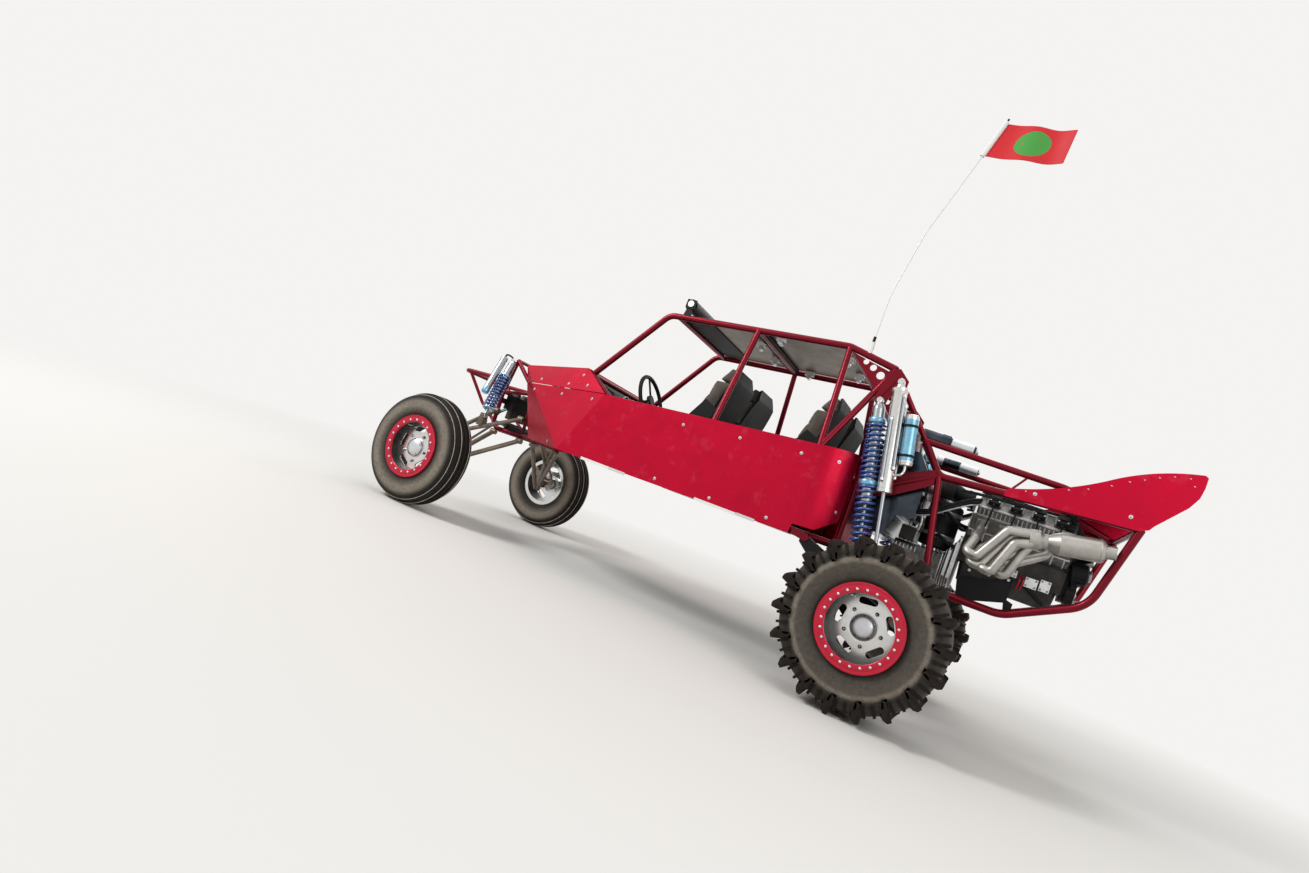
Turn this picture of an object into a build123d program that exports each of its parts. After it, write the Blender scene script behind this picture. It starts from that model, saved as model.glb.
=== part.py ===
from build123d import *
from math import cos, pi, radians, sin
import os

# Four-seat sand car with a tubular space frame, long-travel suspension and a rear V-eight engine.
# Millimetres, nose towards -X, left side towards -Y, +Z up.
# The origin is on the floor, under the middle of the overall box.
# Points in the tables are for the left side with the half-width written as positive.

os.makedirs("parts", exist_ok=True)

SIDES = (("left", -1), ("right", 1))

# Overall sizes
overall_length = 4700
wheelbase = 3105
rear_axle_x = 1170
front_axle_x = rear_axle_x - wheelbase
seat_gap = 0.3
run_gap = 0.05

# Tube sizes
main_tube = 40
stay_tube = 32
light_tube = 25

# Rear wheels
rear_track_half = 859
rear_tip_radius = 430
rear_carcass_radius = 402
rear_tyre_width = 350
rear_bead_radius = 205
rear_paddles = 18
paddle_thickness = 26
rear_rim_offset = 158
rear_disc_inset = 130

# Front wheels
front_track_half = 813
front_radius = 381
front_tyre_width = 225
front_bead_radius = 198
front_rim_offset = 99
front_disc_inset = 52

# Rim details shared by the four wheels
ring_thickness = 12
ring_inner = 166
seat_width = 24
barrel_wall = 5
disc_thickness = 10
cap_radius = 64
cap_height = 34
window_count = 5
window_circle = 126
window_length = 92
window_height = 34
spindle_radius = 20
hub_radius = 52

# Body
body_half_width = 650
panel = 3
belly_front_z = 705
belly_slope = 0.0133
sill_front_z = 1141
sill_slope = 0.0735
cowl_x = -817
fold_bottom_x = -1015
wrap_start_x = 600
wrap_end_x = 812
wrap_half_width = 520
wrap_bottom_z = 880
sill_drop = 16
rear_hoop_x = 832
rear_hoop_half = 470
sheet_half = 462

# Seats: columns row and hip point, then the two leg stations ahead of the hip with the shell's height there
seat_table = [("front", -330), ("rear", 345)]
leg_table = [(-400, 803), (-60, 774)]

# Front suspension
kingpin_half = 665
upper_ball_z = 552
lower_ball_z = 320
ball_radius = 28
ball_height = 38
ball_reach = 45
steer_arm = 120
steer_arm_z = 400
rack_z = 730
rack_radius = 12
rack_half = 312
rack_housing_half = 190
rack_housing_radius = 27

# Rear suspension
coil_half = 556
bypass_half = 582
spring_radius = 56
arm_half = 600
arm_width = 64
pivot_x = 700
pivot_z = 736
pivot_pin_radius = 12
eye_radius = 20
eye_half = 20
cheek_half = eye_half + seat_gap + 3.5

# Engine
crank_z = 1000
engine_front_x = 1420
engine_length = 530
bore_spacing = 112
deck_distance = 222
head_height = 100
cover_height = 52
bank_width = 150

# Tail
tail_half = 450
tail_end_x = overall_length / 2

# Whip and flag
whip_half = 481
whip_thick = 10
sleeve_radius = 14
flag_thick = 2


def belly_z(x):
    """Height of the belly's underside at a station along the car."""
    return belly_front_z + belly_slope * (x - fold_bottom_x)


def sill_z(x):
    """Height of the side panel's top edge at a station along the car."""
    return sill_front_z + sill_slope * (x - cowl_x)


def at(point, side):
    """A table point as a vector on one side of the car."""
    return Vector(point[0], side * point[1], point[2])


def tube(points, diameter, bend=0, mode=Mode.ADD):
    """Round tube through the points, its corners bent to a radius."""
    points = [Vector(*point) for point in points]
    with BuildLine() as path:
        if len(points) == 2:
            Line(*points)
        else:
            FilletPolyline(*points, radius=bend)
    with BuildSketch(Plane(origin=path.line @ 0, z_dir=path.line % 0)) as section:
        Circle(diameter / 2)
    if len(points) == 2:
        extrude(section.sketch, amount=(points[1] - points[0]).length, mode=mode)
    else:
        sweep(section.sketch, path=path.line, mode=mode)


def tubes(table, side, extra=0, mode=Mode.ADD):
    """Tubes of a table with columns points, diameter and bend, on one side."""
    for points, diameter, bend in table:
        tube([at(point, side) for point in points], diameter + extra, bend, mode)


def barrel(start, end, radius, bore=0):
    """Cylinder or sleeve from one point to another."""
    start, end = Vector(*start), Vector(*end)
    with BuildSketch(Plane(origin=start, z_dir=end - start)) as section:
        Circle(radius)
        if bore:
            Circle(bore, mode=Mode.SUBTRACT)
    extrude(section.sketch, amount=(end - start).length)


def clevis(point, side, foot_z):
    """Block and two cheeks that hold a shock's lower eye, standing on an arm."""
    x, half, z = point
    base_z = z - eye_radius - 4
    side_profile([(x - 24, foot_z), (x + 24, foot_z), (x + 24, base_z), (x - 24, base_z)], half, 2 * cheek_half + 7, side)
    for edge in (-1, 1):
        side_profile([(x - 24, foot_z), (x + 24, foot_z), (x + 13, z + 18), (x - 13, z + 18)],
                     half + edge * cheek_half, 7, side)


def side_profile(points, half, thickness, side, mode=Mode.ADD):
    """Plate with a side-view outline of (x, z) points, centred on a half-width."""
    with BuildSketch(Plane.XZ.offset(-side * half)) as outline:
        with BuildLine():
            Polyline(*points, close=True)
        make_face()
    extrude(outline.sketch, amount=thickness / 2, both=True, mode=mode)


def folded_sheet(corners, facets, thickness):
    """Sheet metal folded between flat three-cornered facets, built inwards from its outer face."""
    outer = [Vector(*corner) for corner in corners]
    normals = [[] for _ in outer]
    for a, b, c in facets:
        normal = (outer[b] - outer[a]).cross(outer[c] - outer[a]).normalized()
        for corner in (a, b, c):
            if all((normal - other).length > 1e-3 for other in normals[corner]):
                normals[corner].append(normal)
    inner = []
    for point, found in zip(outer, normals):
        middle = sum(found, Vector()).normalized()
        reach = sum(normal.dot(middle) for normal in found) / len(found)
        inner.append(point - middle * (thickness / reach))
    triangles = [(outer[a], outer[b], outer[c]) for a, b, c in facets]
    triangles += [(inner[c], inner[b], inner[a]) for a, b, c in facets]
    edges = {(f[i], f[(i + 1) % 3]) for f in facets for i in range(3)}
    for a, b in sorted(edges):
        if (b, a) not in edges:
            triangles += [(outer[b], outer[a], inner[a]), (outer[b], inner[a], inner[b])]
    faces = [Face(Wire.make_polygon(triangle, close=True)) for triangle in triangles]
    add(Solid(Shell(faces)))


def mirrored(point):
    """The same point on the other side of the car."""
    return (point[0], -point[1], point[2])


# Chassis frame
rail_half = body_half_width - panel - seat_gap - main_tube / 2
rail_lift = panel + seat_gap + main_tube / 2


def low_rail(x, half):
    """Point on a lower rail's centre line."""
    return (x, half, belly_z(x) + rail_lift)


def high_rail(x, half):
    """Point on an upper rail's centre line, just below the side panel's top edge."""
    return (x, half, sill_z(x) - sill_drop)


nose_rail = low_rail(-1400, 372)
nose_rail_top = (-1600, 352, 1046)
dash_rear_x = -842
dash_bar = high_rail(dash_rear_x + seat_gap + stay_tube / 2, rail_half)
# Columns: points, diameter, bend
rail_table = [
    ([nose_rail, low_rail(fold_bottom_x + 15, rail_half), low_rail(550, rail_half), low_rail(645, 515),
      low_rail(rear_hoop_x, rear_hoop_half)], main_tube, 60),
    ([nose_rail_top, high_rail(cowl_x + 20, rail_half), high_rail(wrap_start_x + 20, rail_half),
      high_rail(rear_hoop_x, rear_hoop_half)], main_tube, 90),
]
hoop_table = [
    ([low_rail(x, rail_half), high_rail(x, rail_half)], stay_tube, 0) for x in (cowl_x + 20, -50, 520)
] + [
    ([low_rail(rear_hoop_x, rear_hoop_half), high_rail(rear_hoop_x, rear_hoop_half)], stay_tube, 0),
    ([nose_rail, nose_rail_top], stay_tube, 0),
]
hoop_crosses = [nose_rail, dash_bar, low_rail(rear_hoop_x, rear_hoop_half), high_rail(rear_hoop_x, rear_hoop_half)]
seat_crosses = [low_rail(hip_x + leg, rail_half) for _, hip_x in seat_table for leg, _ in leg_table]


def cross_tube(point, diameter, mode=Mode.ADD):
    """Tube across the car between a point and its mirror image."""
    tube([at(point, -1), at(point, 1)], diameter, mode=mode)


def turned(start, end, rows):
    """Solid turned about the line from start towards end, from rows of distance along it and radius."""
    along = (Vector(*end) - Vector(*start)).normalized()
    with BuildSketch(Plane(origin=Vector(*start), x_dir=along, z_dir=along.cross(Vector(0, 0, 1)))) as half:
        with BuildLine():
            Polyline((rows[0][0], 0), *rows, (rows[-1][0], 0), close=True)
        make_face()
    revolve(half.sketch, axis=Axis(Vector(*start), along))



def clear_of_chassis():
    """Copes the open part's tubes where they land on the chassis frame."""
    for _, side in SIDES:
        tubes(rail_table, side, 2 * seat_gap, Mode.SUBTRACT)
        tubes(hoop_table, side, 2 * seat_gap, Mode.SUBTRACT)
    for point in hoop_crosses:
        cross_tube(point, stay_tube + 2 * seat_gap, Mode.SUBTRACT)


with BuildPart() as chassis_frame:
    for _, side in SIDES:
        tubes(rail_table, side)
        tubes(hoop_table, side)
        ear_inner = arm_half - arm_width / 2 - seat_gap
        ear_outer = arm_half + arm_width / 2 + seat_gap
        for low, high in ((ear_inner - 7, ear_inner), (ear_outer, ear_outer + 7)):
            side_profile([(612, 730), (612, 762), (pivot_x, pivot_z + 24), (pivot_x + 22, pivot_z),
                          (pivot_x, pivot_z - 22)], (low + high) / 2, high - low, side)
        tube([(632, side * 520, 748), (632, side * (ear_outer + 7), 748)], 28)
        tube([(pivot_x, side * (ear_inner - 7), pivot_z), (pivot_x, side * (ear_outer + 7), pivot_z)],
             2 * pivot_pin_radius)
    for point in hoop_crosses + seat_crosses:
        cross_tube(point, stay_tube)
chassis_frame.part.label = "chassis_frame"
export_step(chassis_frame.part, "parts/chassis_frame.step")

# Roll cage over the cab
a_foot = (-1060, 478, 1262)
roof_front = (-672, 459, 1790)
c_top = (534, 475, 1868)
roof_rise = (c_top[2] - roof_front[2]) / (c_top[0] - roof_front[0])
b_top = (-41, 471, roof_front[2] + roof_rise * (-41 - roof_front[0]))
header = (roof_front[0] + 60, roof_front[1], roof_front[2] + roof_rise * 60)
tower_top = (828, 490, 1797)
tower_low = (752, 500, 1632)
stay_node = (1090, 400, 1470)
b_foot = high_rail(-50, rail_half)
c_foot = high_rail(wrap_start_x, rail_half)
cage_table = [
    ([high_rail(cowl_x + 45, rail_half), a_foot], stay_tube, 0),
    ([a_foot, roof_front, c_top, tower_top], main_tube, 90),
    ([b_foot, b_top], main_tube - 3, 0),
    ([c_foot, c_top], main_tube - 3, 0),
    ([c_foot, tower_low], main_tube - 3, 0),
    ([tower_low, tower_top], main_tube - 3, 0),
]
cage_cross_table = [header, b_top, c_top, tower_top, tower_low, a_foot]

with BuildPart() as roll_cage:
    for _, side in SIDES:
        tubes(cage_table, side)
    for point in cage_cross_table:
        cross_tube(point, stay_tube)
    clear_of_chassis()
roll_cage.part.label = "roll_cage"
export_step(roll_cage.part, "parts/roll_cage.step")

# Front frame with its shock hoops and the bumper
rack_x = front_axle_x + steer_arm
rack_foot_z = rack_z - rack_housing_radius - 10
front_shock_top = (-1852, 330, 1195)
front_shock_foot = (-1800, 486, 742)
hoop_top = (-1848, 285, 1216)
hoop_foot = (-1660, 300, 1075)
box_rear_low = (-1440, 250, 722)
box_x = -1890
bumper_tube = light_tube + 7
bumper_tip_x = -overall_length / 2 + bumper_tube / 2
front_table = [
    ([box_rear_low, (-1620, 250, 690), (box_x, 250, 690), (box_x, 268, 960), hoop_top], stay_tube, 60),
    ([hoop_top, hoop_foot, (-1622, 300, 1040)], stay_tube, 50),
    ([(box_x, 268, 960), (-1600, 300, 1010)], light_tube, 0),
    ([(-1600, 250, 700), (-1600, 300, 1010)], light_tube, 0),
]
bumper_table = [
    ([(bumper_tip_x, 0, 1030), (bumper_tip_x, 250, 1030), (-2070, 250, 1043), (box_x, 266, 930)], bumper_tube, 60),
    ([(-2280, 250, 1034), (-2103, 200, 835), (-1954, 190, 737), (box_x + 10, 248, 700)], light_tube, 60),
]
front_cross = ((box_x + 30, 250, 690), (box_x, 268, 960), (rack_x, 250, rack_foot_z - seat_gap - light_tube / 2),
               hoop_top, (-1600, 250, 700), (-1600, 300, 1010))

with BuildPart() as front_frame:
    for _, side in SIDES:
        tubes(front_table, side)
        tubes(bumper_table, side)
        tube([at((-1600, 250, 700), side), at(nose_rail, side)], light_tube)
        tube([at(hoop_foot, side), at(nose_rail_top, side)], light_tube)
        x, half, z = front_shock_top
        barrel((x, side * (half - 44), z), (x, side * (half - eye_half - seat_gap), z), 12)
    for point in front_cross:
        cross_tube(point, light_tube)
    clear_of_chassis()
front_frame.part.label = "front_frame"
export_step(front_frame.part, "parts/front_frame.step")

# Rear frame around the engine
rail_bend = (1220, tail_half, 1297)
rail_end = (2165, tail_half, 1338)
rear_table = [
    ([tower_top, stay_node], stay_tube, 0),
    ([stay_node, (1808, 372, 1440), (2130, 420, 1345)], main_tube - 4, 120),
    ([stay_node, rail_bend, rail_end], main_tube, 70),
    ([rail_bend, (1310, 450, 830)], main_tube - 3, 0),
    ([(rear_hoop_x, rear_hoop_half, 1080), rail_bend], stay_tube, 0),
    ([rail_end, (2060, 395, 901), (1713, 352, 714), (1530, 350, 712), (1310, 350, 714),
      (rear_hoop_x, 330, belly_z(rear_hoop_x) + rail_lift + 2)], main_tube, 180),
    ([(1310, 450, 830), (1310, 352, 716)], stay_tube, 0),
]
cross_half = stay_tube / 2 - 1
case_z = 840
rib_height = 206
rib_x = (1215, 1241, 1267, 1293, 1319)
rib_thick = 7
rear_cross = (rail_end, (2046, 394, 911), (1740, 355, 729), (1530, 350, 712), (1090, 400, 1448),
              (rib_x[-1] + rib_thick / 2, 350, case_z - rib_height / 2 - seat_gap - cross_half))
cradle_top = crank_z - 80 - seat_gap
cradle = [(1449, 836), (1650, 883), (1650, cradle_top), (1722, cradle_top), (1722, 800), (1756, 790), (1756, 727),
          (1724, 727), (1712, 780), (1478, 704)]
side_sheet = [(840, 1040), (1025, 1118), (1213, 1240), (1200, 1325), (990, 1232), (840, 1165)]

with BuildPart() as rear_frame:
    for _, side in SIDES:
        tubes(rear_table, side)
        side_profile(cradle, 134, 12, side)
        side_profile(side_sheet, sheet_half, panel, side)
        tube([at((1558, tail_half, 1320), side), at((1626, 383, 1432), side)], 12)
    for point in rear_cross:
        cross_tube(point, 2 * cross_half)
    for _, side in SIDES:
        tubes(cage_table, side, 2 * seat_gap, Mode.SUBTRACT)
    cross_tube(tower_top, stay_tube + 2 * seat_gap, Mode.SUBTRACT)
    clear_of_chassis()
rear_frame.part.label = "rear_frame"
export_step(rear_frame.part, "parts/rear_frame.step")

# Side panels: folded at the nose, flat along the doors, wrapped inwards ahead of the rear tyre
crease_front = (-1632, -372, 1068)
crease_mid = (-1560, -418, 1080)
cowl_low = (cowl_x, -body_half_width, sill_front_z)
fold_low = (fold_bottom_x, -body_half_width, belly_front_z)
nose_low = (-1440, -392, belly_front_z - 4)
panel_corners = [
    crease_front, crease_mid, cowl_low, fold_low, nose_low,
    (wrap_start_x, -body_half_width, belly_z(wrap_start_x)),
    (wrap_start_x, -body_half_width, sill_z(wrap_start_x)),
]
panel_facets = [(2, 3, 5), (2, 5, 6), (1, 3, 2), (1, 4, 3), (0, 4, 1)]
wrap_mid_x = wrap_start_x + 0.64 * (wrap_end_x - wrap_start_x)
wrap_mid_half = body_half_width - 0.3 * (body_half_width - wrap_half_width)

with BuildPart() as side_panel_left:
    with BuildSketch(Plane.XY.offset(belly_front_z)) as wall:
        with BuildLine():
            wrap = ThreePointArc((wrap_start_x, -body_half_width), (wrap_mid_x, -wrap_mid_half),
                                 (wrap_end_x, -wrap_half_width))
            inward = ThreePointArc((wrap_start_x, -body_half_width + panel), (wrap_mid_x - 1, -wrap_mid_half + panel),
                                   (wrap_end_x - panel, -wrap_half_width))
            Line(wrap @ 0, inward @ 0)
            Line(wrap @ 1, inward @ 1)
        make_face()
    extrude(wall.sketch, amount=sill_z(wrap_end_x) - belly_front_z + 20)
    wrap_side = [(wrap_start_x, belly_z(wrap_start_x)), (606, 782), (724, 790), (wrap_end_x + 5, wrap_bottom_z),
                 (wrap_end_x + 5, sill_z(wrap_end_x) + 8), (wrap_start_x, sill_z(wrap_start_x))]
    side_profile(wrap_side, body_half_width - 60, 260, -1, Mode.INTERSECT)
    folded_sheet(panel_corners, panel_facets, panel)
side_panel_left.part.label = "side_panel_left"
export_step(side_panel_left.part, "parts/side_panel_left.step")

with BuildPart() as side_panel_right:
    mirror(side_panel_left.part, about=Plane.XZ)
side_panel_right.part.label = "side_panel_right"
export_step(side_panel_right.part, "parts/side_panel_right.step")

# Hood: a folded sheet from the nose to the feet of the front pillars
hood_lift = 5
front_top = (-1745, -300, 1205)
pillar_foot = (-1087, -512, 1290)
hood_left = [(x, y + 2, z + hood_lift) for x, y, z in (crease_front, crease_mid, cowl_low)]
hood_left += [front_top, pillar_foot]
hood_corners = hood_left + [mirrored(point) for point in hood_left]
hood_facets = [(3, 0, 1), (4, 3, 1), (4, 1, 2), (3, 4, 9), (3, 9, 8), (8, 6, 5), (9, 6, 8), (9, 7, 6)]

with BuildPart() as hood_panel:
    folded_sheet(hood_corners, hood_facets, panel)
hood_panel.part.label = "hood_panel"
export_step(hood_panel.part, "parts/hood_panel.step")

# Belly pan under the rails
belly_outline = [(-1438, 388), (fold_bottom_x, body_half_width - panel - 1), (600, body_half_width - panel - 1),
                 (604, 548), (rear_hoop_x + 16, 480)]
belly_angle = Vector(1, 0, belly_slope)

with BuildPart() as belly_pan:
    floor_plane = Plane(origin=(fold_bottom_x, 0, belly_front_z), x_dir=belly_angle, z_dir=(-belly_slope, 0, 1))
    with BuildSketch(floor_plane) as pan:
        with BuildLine():
            Polyline(*[(x - fold_bottom_x, -y) for x, y in belly_outline],
                     *[(x - fold_bottom_x, y) for x, y in reversed(belly_outline)], close=True)
        make_face()
    extrude(pan.sketch, amount=panel)
belly_pan.part.label = "belly_pan"
export_step(belly_pan.part, "parts/belly_pan.step")

# Firewall behind the rear seats
with BuildPart() as rear_bulkhead:
    wall_x = rear_hoop_x - stay_tube / 2 - seat_gap - panel
    with BuildSketch(Plane.YZ.offset(wall_x)) as wall:
        with BuildLine():
            Polyline((-475, belly_z(wall_x) + rail_lift + 24), (475, belly_z(wall_x) + rail_lift + 24),
                     (475, sill_z(wall_x) - 42), (-475, sill_z(wall_x) - 42), close=True)
        make_face()
        with Locations((0, 1010)):
            Rectangle(420, 90, mode=Mode.SUBTRACT)
    extrude(wall.sketch, amount=panel)
rear_bulkhead.part.label = "rear_bulkhead"
export_step(rear_bulkhead.part, "parts/rear_bulkhead.step")

# Roof sheet between the roof rails
roof_inset = main_tube / 2 + seat_gap
roof_start_x = header[0] - 4
roof_end_x = c_top[0] - main_tube / 2 - 12

with BuildPart() as roof_panel:
    roof_plane = Plane(origin=(roof_front[0], 0, roof_front[2] + (stay_tube / 2 + seat_gap) * (1 + roof_rise ** 2) ** 0.5), x_dir=(1, 0, roof_rise),
                       z_dir=(-roof_rise, 0, 1))
    with BuildSketch(roof_plane) as roof:
        with BuildLine():
            Polyline((roof_start_x - roof_front[0], -roof_front[1] + roof_inset),
                     (roof_end_x - roof_front[0], -c_top[1] + roof_inset + 4),
                     (roof_end_x - roof_front[0], c_top[1] - roof_inset - 4),
                     (roof_start_x - roof_front[0], roof_front[1] - roof_inset), close=True)
        make_face()
    extrude(roof.sketch, amount=panel)
roof_panel.part.label = "roof_panel"
export_step(roof_panel.part, "parts/roof_panel.step")

# Dashboard under the cowl's rear edge, with the boss that carries the steering column
column_foot = Vector(-868, -255, 1150)
column_axis = Vector(0.9, 0, 0.436).normalized()
boss_length = 42

with BuildPart() as dashboard:
    dash_profile = [(-1072, 1215), (-1010, 1232), (-872, 1190), (dash_rear_x, 1150), (dash_rear_x, 1070), (-862, 1070),
                    (-882, 1160),
                    (-1016, 1200), (-1060, 1190)]
    side_profile(dash_profile, 0, 920, 1)
    barrel(column_foot, column_foot + column_axis * (boss_length - seat_gap), 20)
dashboard.part.label = "dashboard"
export_step(dashboard.part, "parts/dashboard.step")

# Steering wheel on its column, ahead of the left front seat
wheel_centre = column_foot + column_axis * 190
wheel_radius = 165
grip_radius = 14

with BuildPart() as steering_wheel:
    rim_plane = Plane(origin=wheel_centre, x_dir=(0, 1, 0), z_dir=column_axis)
    with BuildSketch(Plane(origin=wheel_centre, x_dir=rim_plane.x_dir, z_dir=rim_plane.y_dir)) as grip:
        with Locations((wheel_radius, 0)):
            RegularPolygon(grip_radius, 8)
    revolve(grip.sketch, axis=Axis(wheel_centre, column_axis))
    for turn in (90, 210, 330):
        spoke = rim_plane.x_dir * cos(radians(turn)) + rim_plane.y_dir * sin(radians(turn))
        tube([wheel_centre, wheel_centre + spoke * wheel_radius], 14)
    barrel(wheel_centre - column_axis * 14, wheel_centre + column_axis * 10, 36)
    barrel(column_foot + column_axis * boss_length, wheel_centre, 12)
steering_wheel.part.label = "steering_wheel"
export_step(steering_wheel.part, "parts/steering_wheel.step")

# Bucket seats
seat_half = 250
seat_pitch = 440
bolster = 62
shell_side = [(-500, 812), (-20, 770), (60, 800), (245, 1500), (225, 1580), (165, 1590), (100, 1500), (-30, 980),
              (-90, 930), (-490, 930)]
wing_side = [(-500, 808), (-20, 765), (62, 796), (200, 1290), (110, 1330), (20, 1180), (-60, 1040), (-470, 1000)]

for row, hip_x in seat_table:
    for name, side in SIDES:
        with BuildPart() as seat:
            side_profile([(hip_x + x, z) for x, z in shell_side], seat_half, seat_pitch - 2 * bolster, side)
            for edge in (-1, 1):
                half = seat_half + edge * (seat_pitch - bolster) / 2
                side_profile([(hip_x + x, z) for x, z in wing_side], half, bolster + 1, side)
                for leg, shell_z in leg_table:
                    foot = low_rail(hip_x + leg, side * half)
                    foot_z = foot[2] + stay_tube / 2 + seat_gap
                    barrel((foot[0], foot[1], foot_z), (foot[0], foot[1], shell_z + 8), 11)
        seat.part.label = f"seat_{row}_{name}"
        export_step(seat.part, f"parts/seat_{row}_{name}.step")

# Front arms: columns inner point, outer ball height, tube
upper_inner = ((-1630, 292, 812), (-1868, 292, 812))
lower_inner = ((-1600, 262, 658), (-1850, 262, 658))
arm_table = [(upper_inner, upper_ball_z, light_tube + 5), (lower_inner, lower_ball_z, light_tube + 9)]

with BuildPart() as front_arms:
    for _, side in SIDES:
        for inner, ball_z, thick in arm_table:
            ball = Vector(front_axle_x, side * kingpin_half, ball_z)
            for point in inner:
                foot = at(point, side)
                level = Vector(foot.X - ball.X, foot.Y - ball.Y, 0).normalized() * ball_reach
                tube([foot, ball + level, ball], thick, 30)
                barrel(foot - Vector(22, 0, 0), foot + Vector(22, 0, 0), 20)
            barrel(ball - Vector(0, 0, ball_height / 2), ball + Vector(0, 0, ball_height / 2), ball_radius)
        clevis(front_shock_foot, side, 668)
    for _, side in SIDES:
        tubes(front_table, side, 2 * seat_gap, Mode.SUBTRACT)
front_arms.part.label = "front_arms"
export_step(front_arms.part, "parts/front_arms.step")

# Knuckles with spindle, steering arm and brake caliper
knuckle_low = lower_ball_z + ball_height / 2 + seat_gap
knuckle_high = upper_ball_z - ball_height / 2 - seat_gap
front_hub_inner = kingpin_half + 42
front_disc_half = front_track_half + front_rim_offset - front_disc_inset
front_spindle_end = front_disc_half + 12

for name, side in SIDES:
    with BuildPart() as knuckle:
        barrel((front_axle_x, side * kingpin_half, knuckle_low), (front_axle_x, side * kingpin_half, knuckle_high), 24)
        barrel((front_axle_x, side * (kingpin_half - 20), front_radius),
               (front_axle_x, side * (front_hub_inner - 4), front_radius), 34)
        barrel((front_axle_x, side * kingpin_half, front_radius), (front_axle_x, side * front_spindle_end, front_radius),
               spindle_radius)
        tip = (front_axle_x + steer_arm, side * kingpin_half, steer_arm_z)
        tube([(front_axle_x, side * kingpin_half, steer_arm_z), tip], 22)
        barrel((tip[0], tip[1], steer_arm_z - 13), (tip[0], tip[1], steer_arm_z + 13), 18)
        with BuildSketch(Plane.XZ.offset(-side * (front_hub_inner + 14))) as caliper:
            with Locations((front_axle_x - 88, front_radius + 58)):
                Rectangle(60, 80)
        extrude(caliper.sketch, amount=side * 45, both=False)
        with BuildSketch(Plane.XZ.offset(-side * (kingpin_half + 12))) as ear:
            with BuildLine():
                Polyline((front_axle_x, front_radius + 20), (front_axle_x - 110, front_radius + 40),
                         (front_axle_x - 110, front_radius + 100), (front_axle_x, front_radius + 70), close=True)
            make_face()
        extrude(ear.sketch, amount=6, both=True)
    knuckle.part.label = f"knuckle_{name}"
    export_step(knuckle.part, f"parts/knuckle_{name}.step")

# Steering rack in its housing, and the bar that carries both tie rods
rod_end_z = steer_arm_z + 13 + seat_gap

with BuildPart() as rack_housing:
    barrel((rack_x, -rack_housing_half, rack_z), (rack_x, rack_housing_half, rack_z), rack_housing_radius,
           rack_radius + run_gap)
    for half in (-120, 120):
        with BuildSketch(Plane.XZ.offset(-half)) as foot:
            with Locations((rack_x, rack_foot_z + 10)):
                Rectangle(46, 20)
        extrude(foot.sketch, amount=20, both=True)
        barrel((rack_x, half - 21, rack_z), (rack_x, half + 21, rack_z), rack_housing_radius - 1, rack_radius + run_gap)
rack_housing.part.label = "rack_housing"
export_step(rack_housing.part, "parts/rack_housing.step")

with BuildPart() as tie_rods:
    barrel((rack_x, -rack_half, rack_z), (rack_x, rack_half, rack_z), rack_radius)
    for _, side in SIDES:
        outer = Vector(rack_x, side * kingpin_half, rod_end_z + 12)
        tube([(rack_x, side * (rack_half - 6), rack_z), outer], 18)
        barrel((outer.X, outer.Y, rod_end_z), (outer.X, outer.Y, rod_end_z + 24), 17)
tie_rods.part.label = "tie_rods"
export_step(tie_rods.part, "parts/tie_rods.step")


def shock(top, foot, body_radius, rod_radius, body_share, spring=None):
    """Shock absorber between two eyes; spring gives its radius, start share, end share and coils."""
    top, foot = Vector(*top), Vector(*foot)
    axis = (foot - top).normalized()
    length = (foot - top).length
    neck = top + axis * (length * body_share)
    barrel(top + axis * (eye_radius - 1), neck, body_radius)
    barrel(neck - axis * 5, foot - axis * 10, rod_radius)
    across = Vector(0, 1, 0)
    for eye in (top, foot):
        barrel(eye - across * eye_half, eye + across * eye_half, eye_radius)
    if spring:
        radius, first, last, coils = spring
        pitch = length * (last - first) / coils
        profile = [(body_radius - 6, 0)]
        for coil in range(coils):
            profile += [(radius - 9, coil * pitch), (radius, (coil + 0.25) * pitch),
                        (radius, (coil + 0.45) * pitch), (radius - 9, (coil + 0.7) * pitch)]
        profile += [(body_radius - 6, coils * pitch)]
        start = top + axis * (length * first)
        facing = across.cross(axis).normalized()
        plane = Plane(origin=start, x_dir=axis.cross(facing), z_dir=facing)
        with BuildSketch(plane) as outline:
            with BuildLine():
                Polyline(*profile, (0, coils * pitch), (0, 0), close=True)
            make_face()
        revolve(outline.sketch, axis=Axis(start, axis))


# Front shocks with their reservoirs
with BuildPart() as front_shocks:
    for _, side in SIDES:
        shock(at(front_shock_top, side), at(front_shock_foot, side), 30, 9, 0.62, (48, 0.3, 0.86, 8))
        barrel(at((-1925, 350, 1200), side), at((-1880, 480, 900), side), 28)
        tube([at((-1925, 350, 1190), side), at((-1850, 337, 1168), side)], 14)
front_shocks.part.label = "front_shocks"
export_step(front_shocks.part, "parts/front_shocks.step")

# Trailing arms with their hub carriers
coil_top = (814, coil_half, 1590)
coil_foot = (990, coil_half, 664)
bypass_top = (894, bypass_half, 1712)
bypass_foot = (1087, bypass_half, 612)
arm_side = [(pivot_x - 30, pivot_z - 30), (pivot_x - 30, pivot_z + 26), (960, 640), (1110, 556), (1200, 520),
            (1252, 440), (1210, 350), (1110, 352), (960, 470)]
rear_hub_inner = rear_track_half - 150
rear_disc_half = rear_track_half + rear_rim_offset - rear_disc_inset
rear_spindle_end = rear_disc_half + 14

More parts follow.
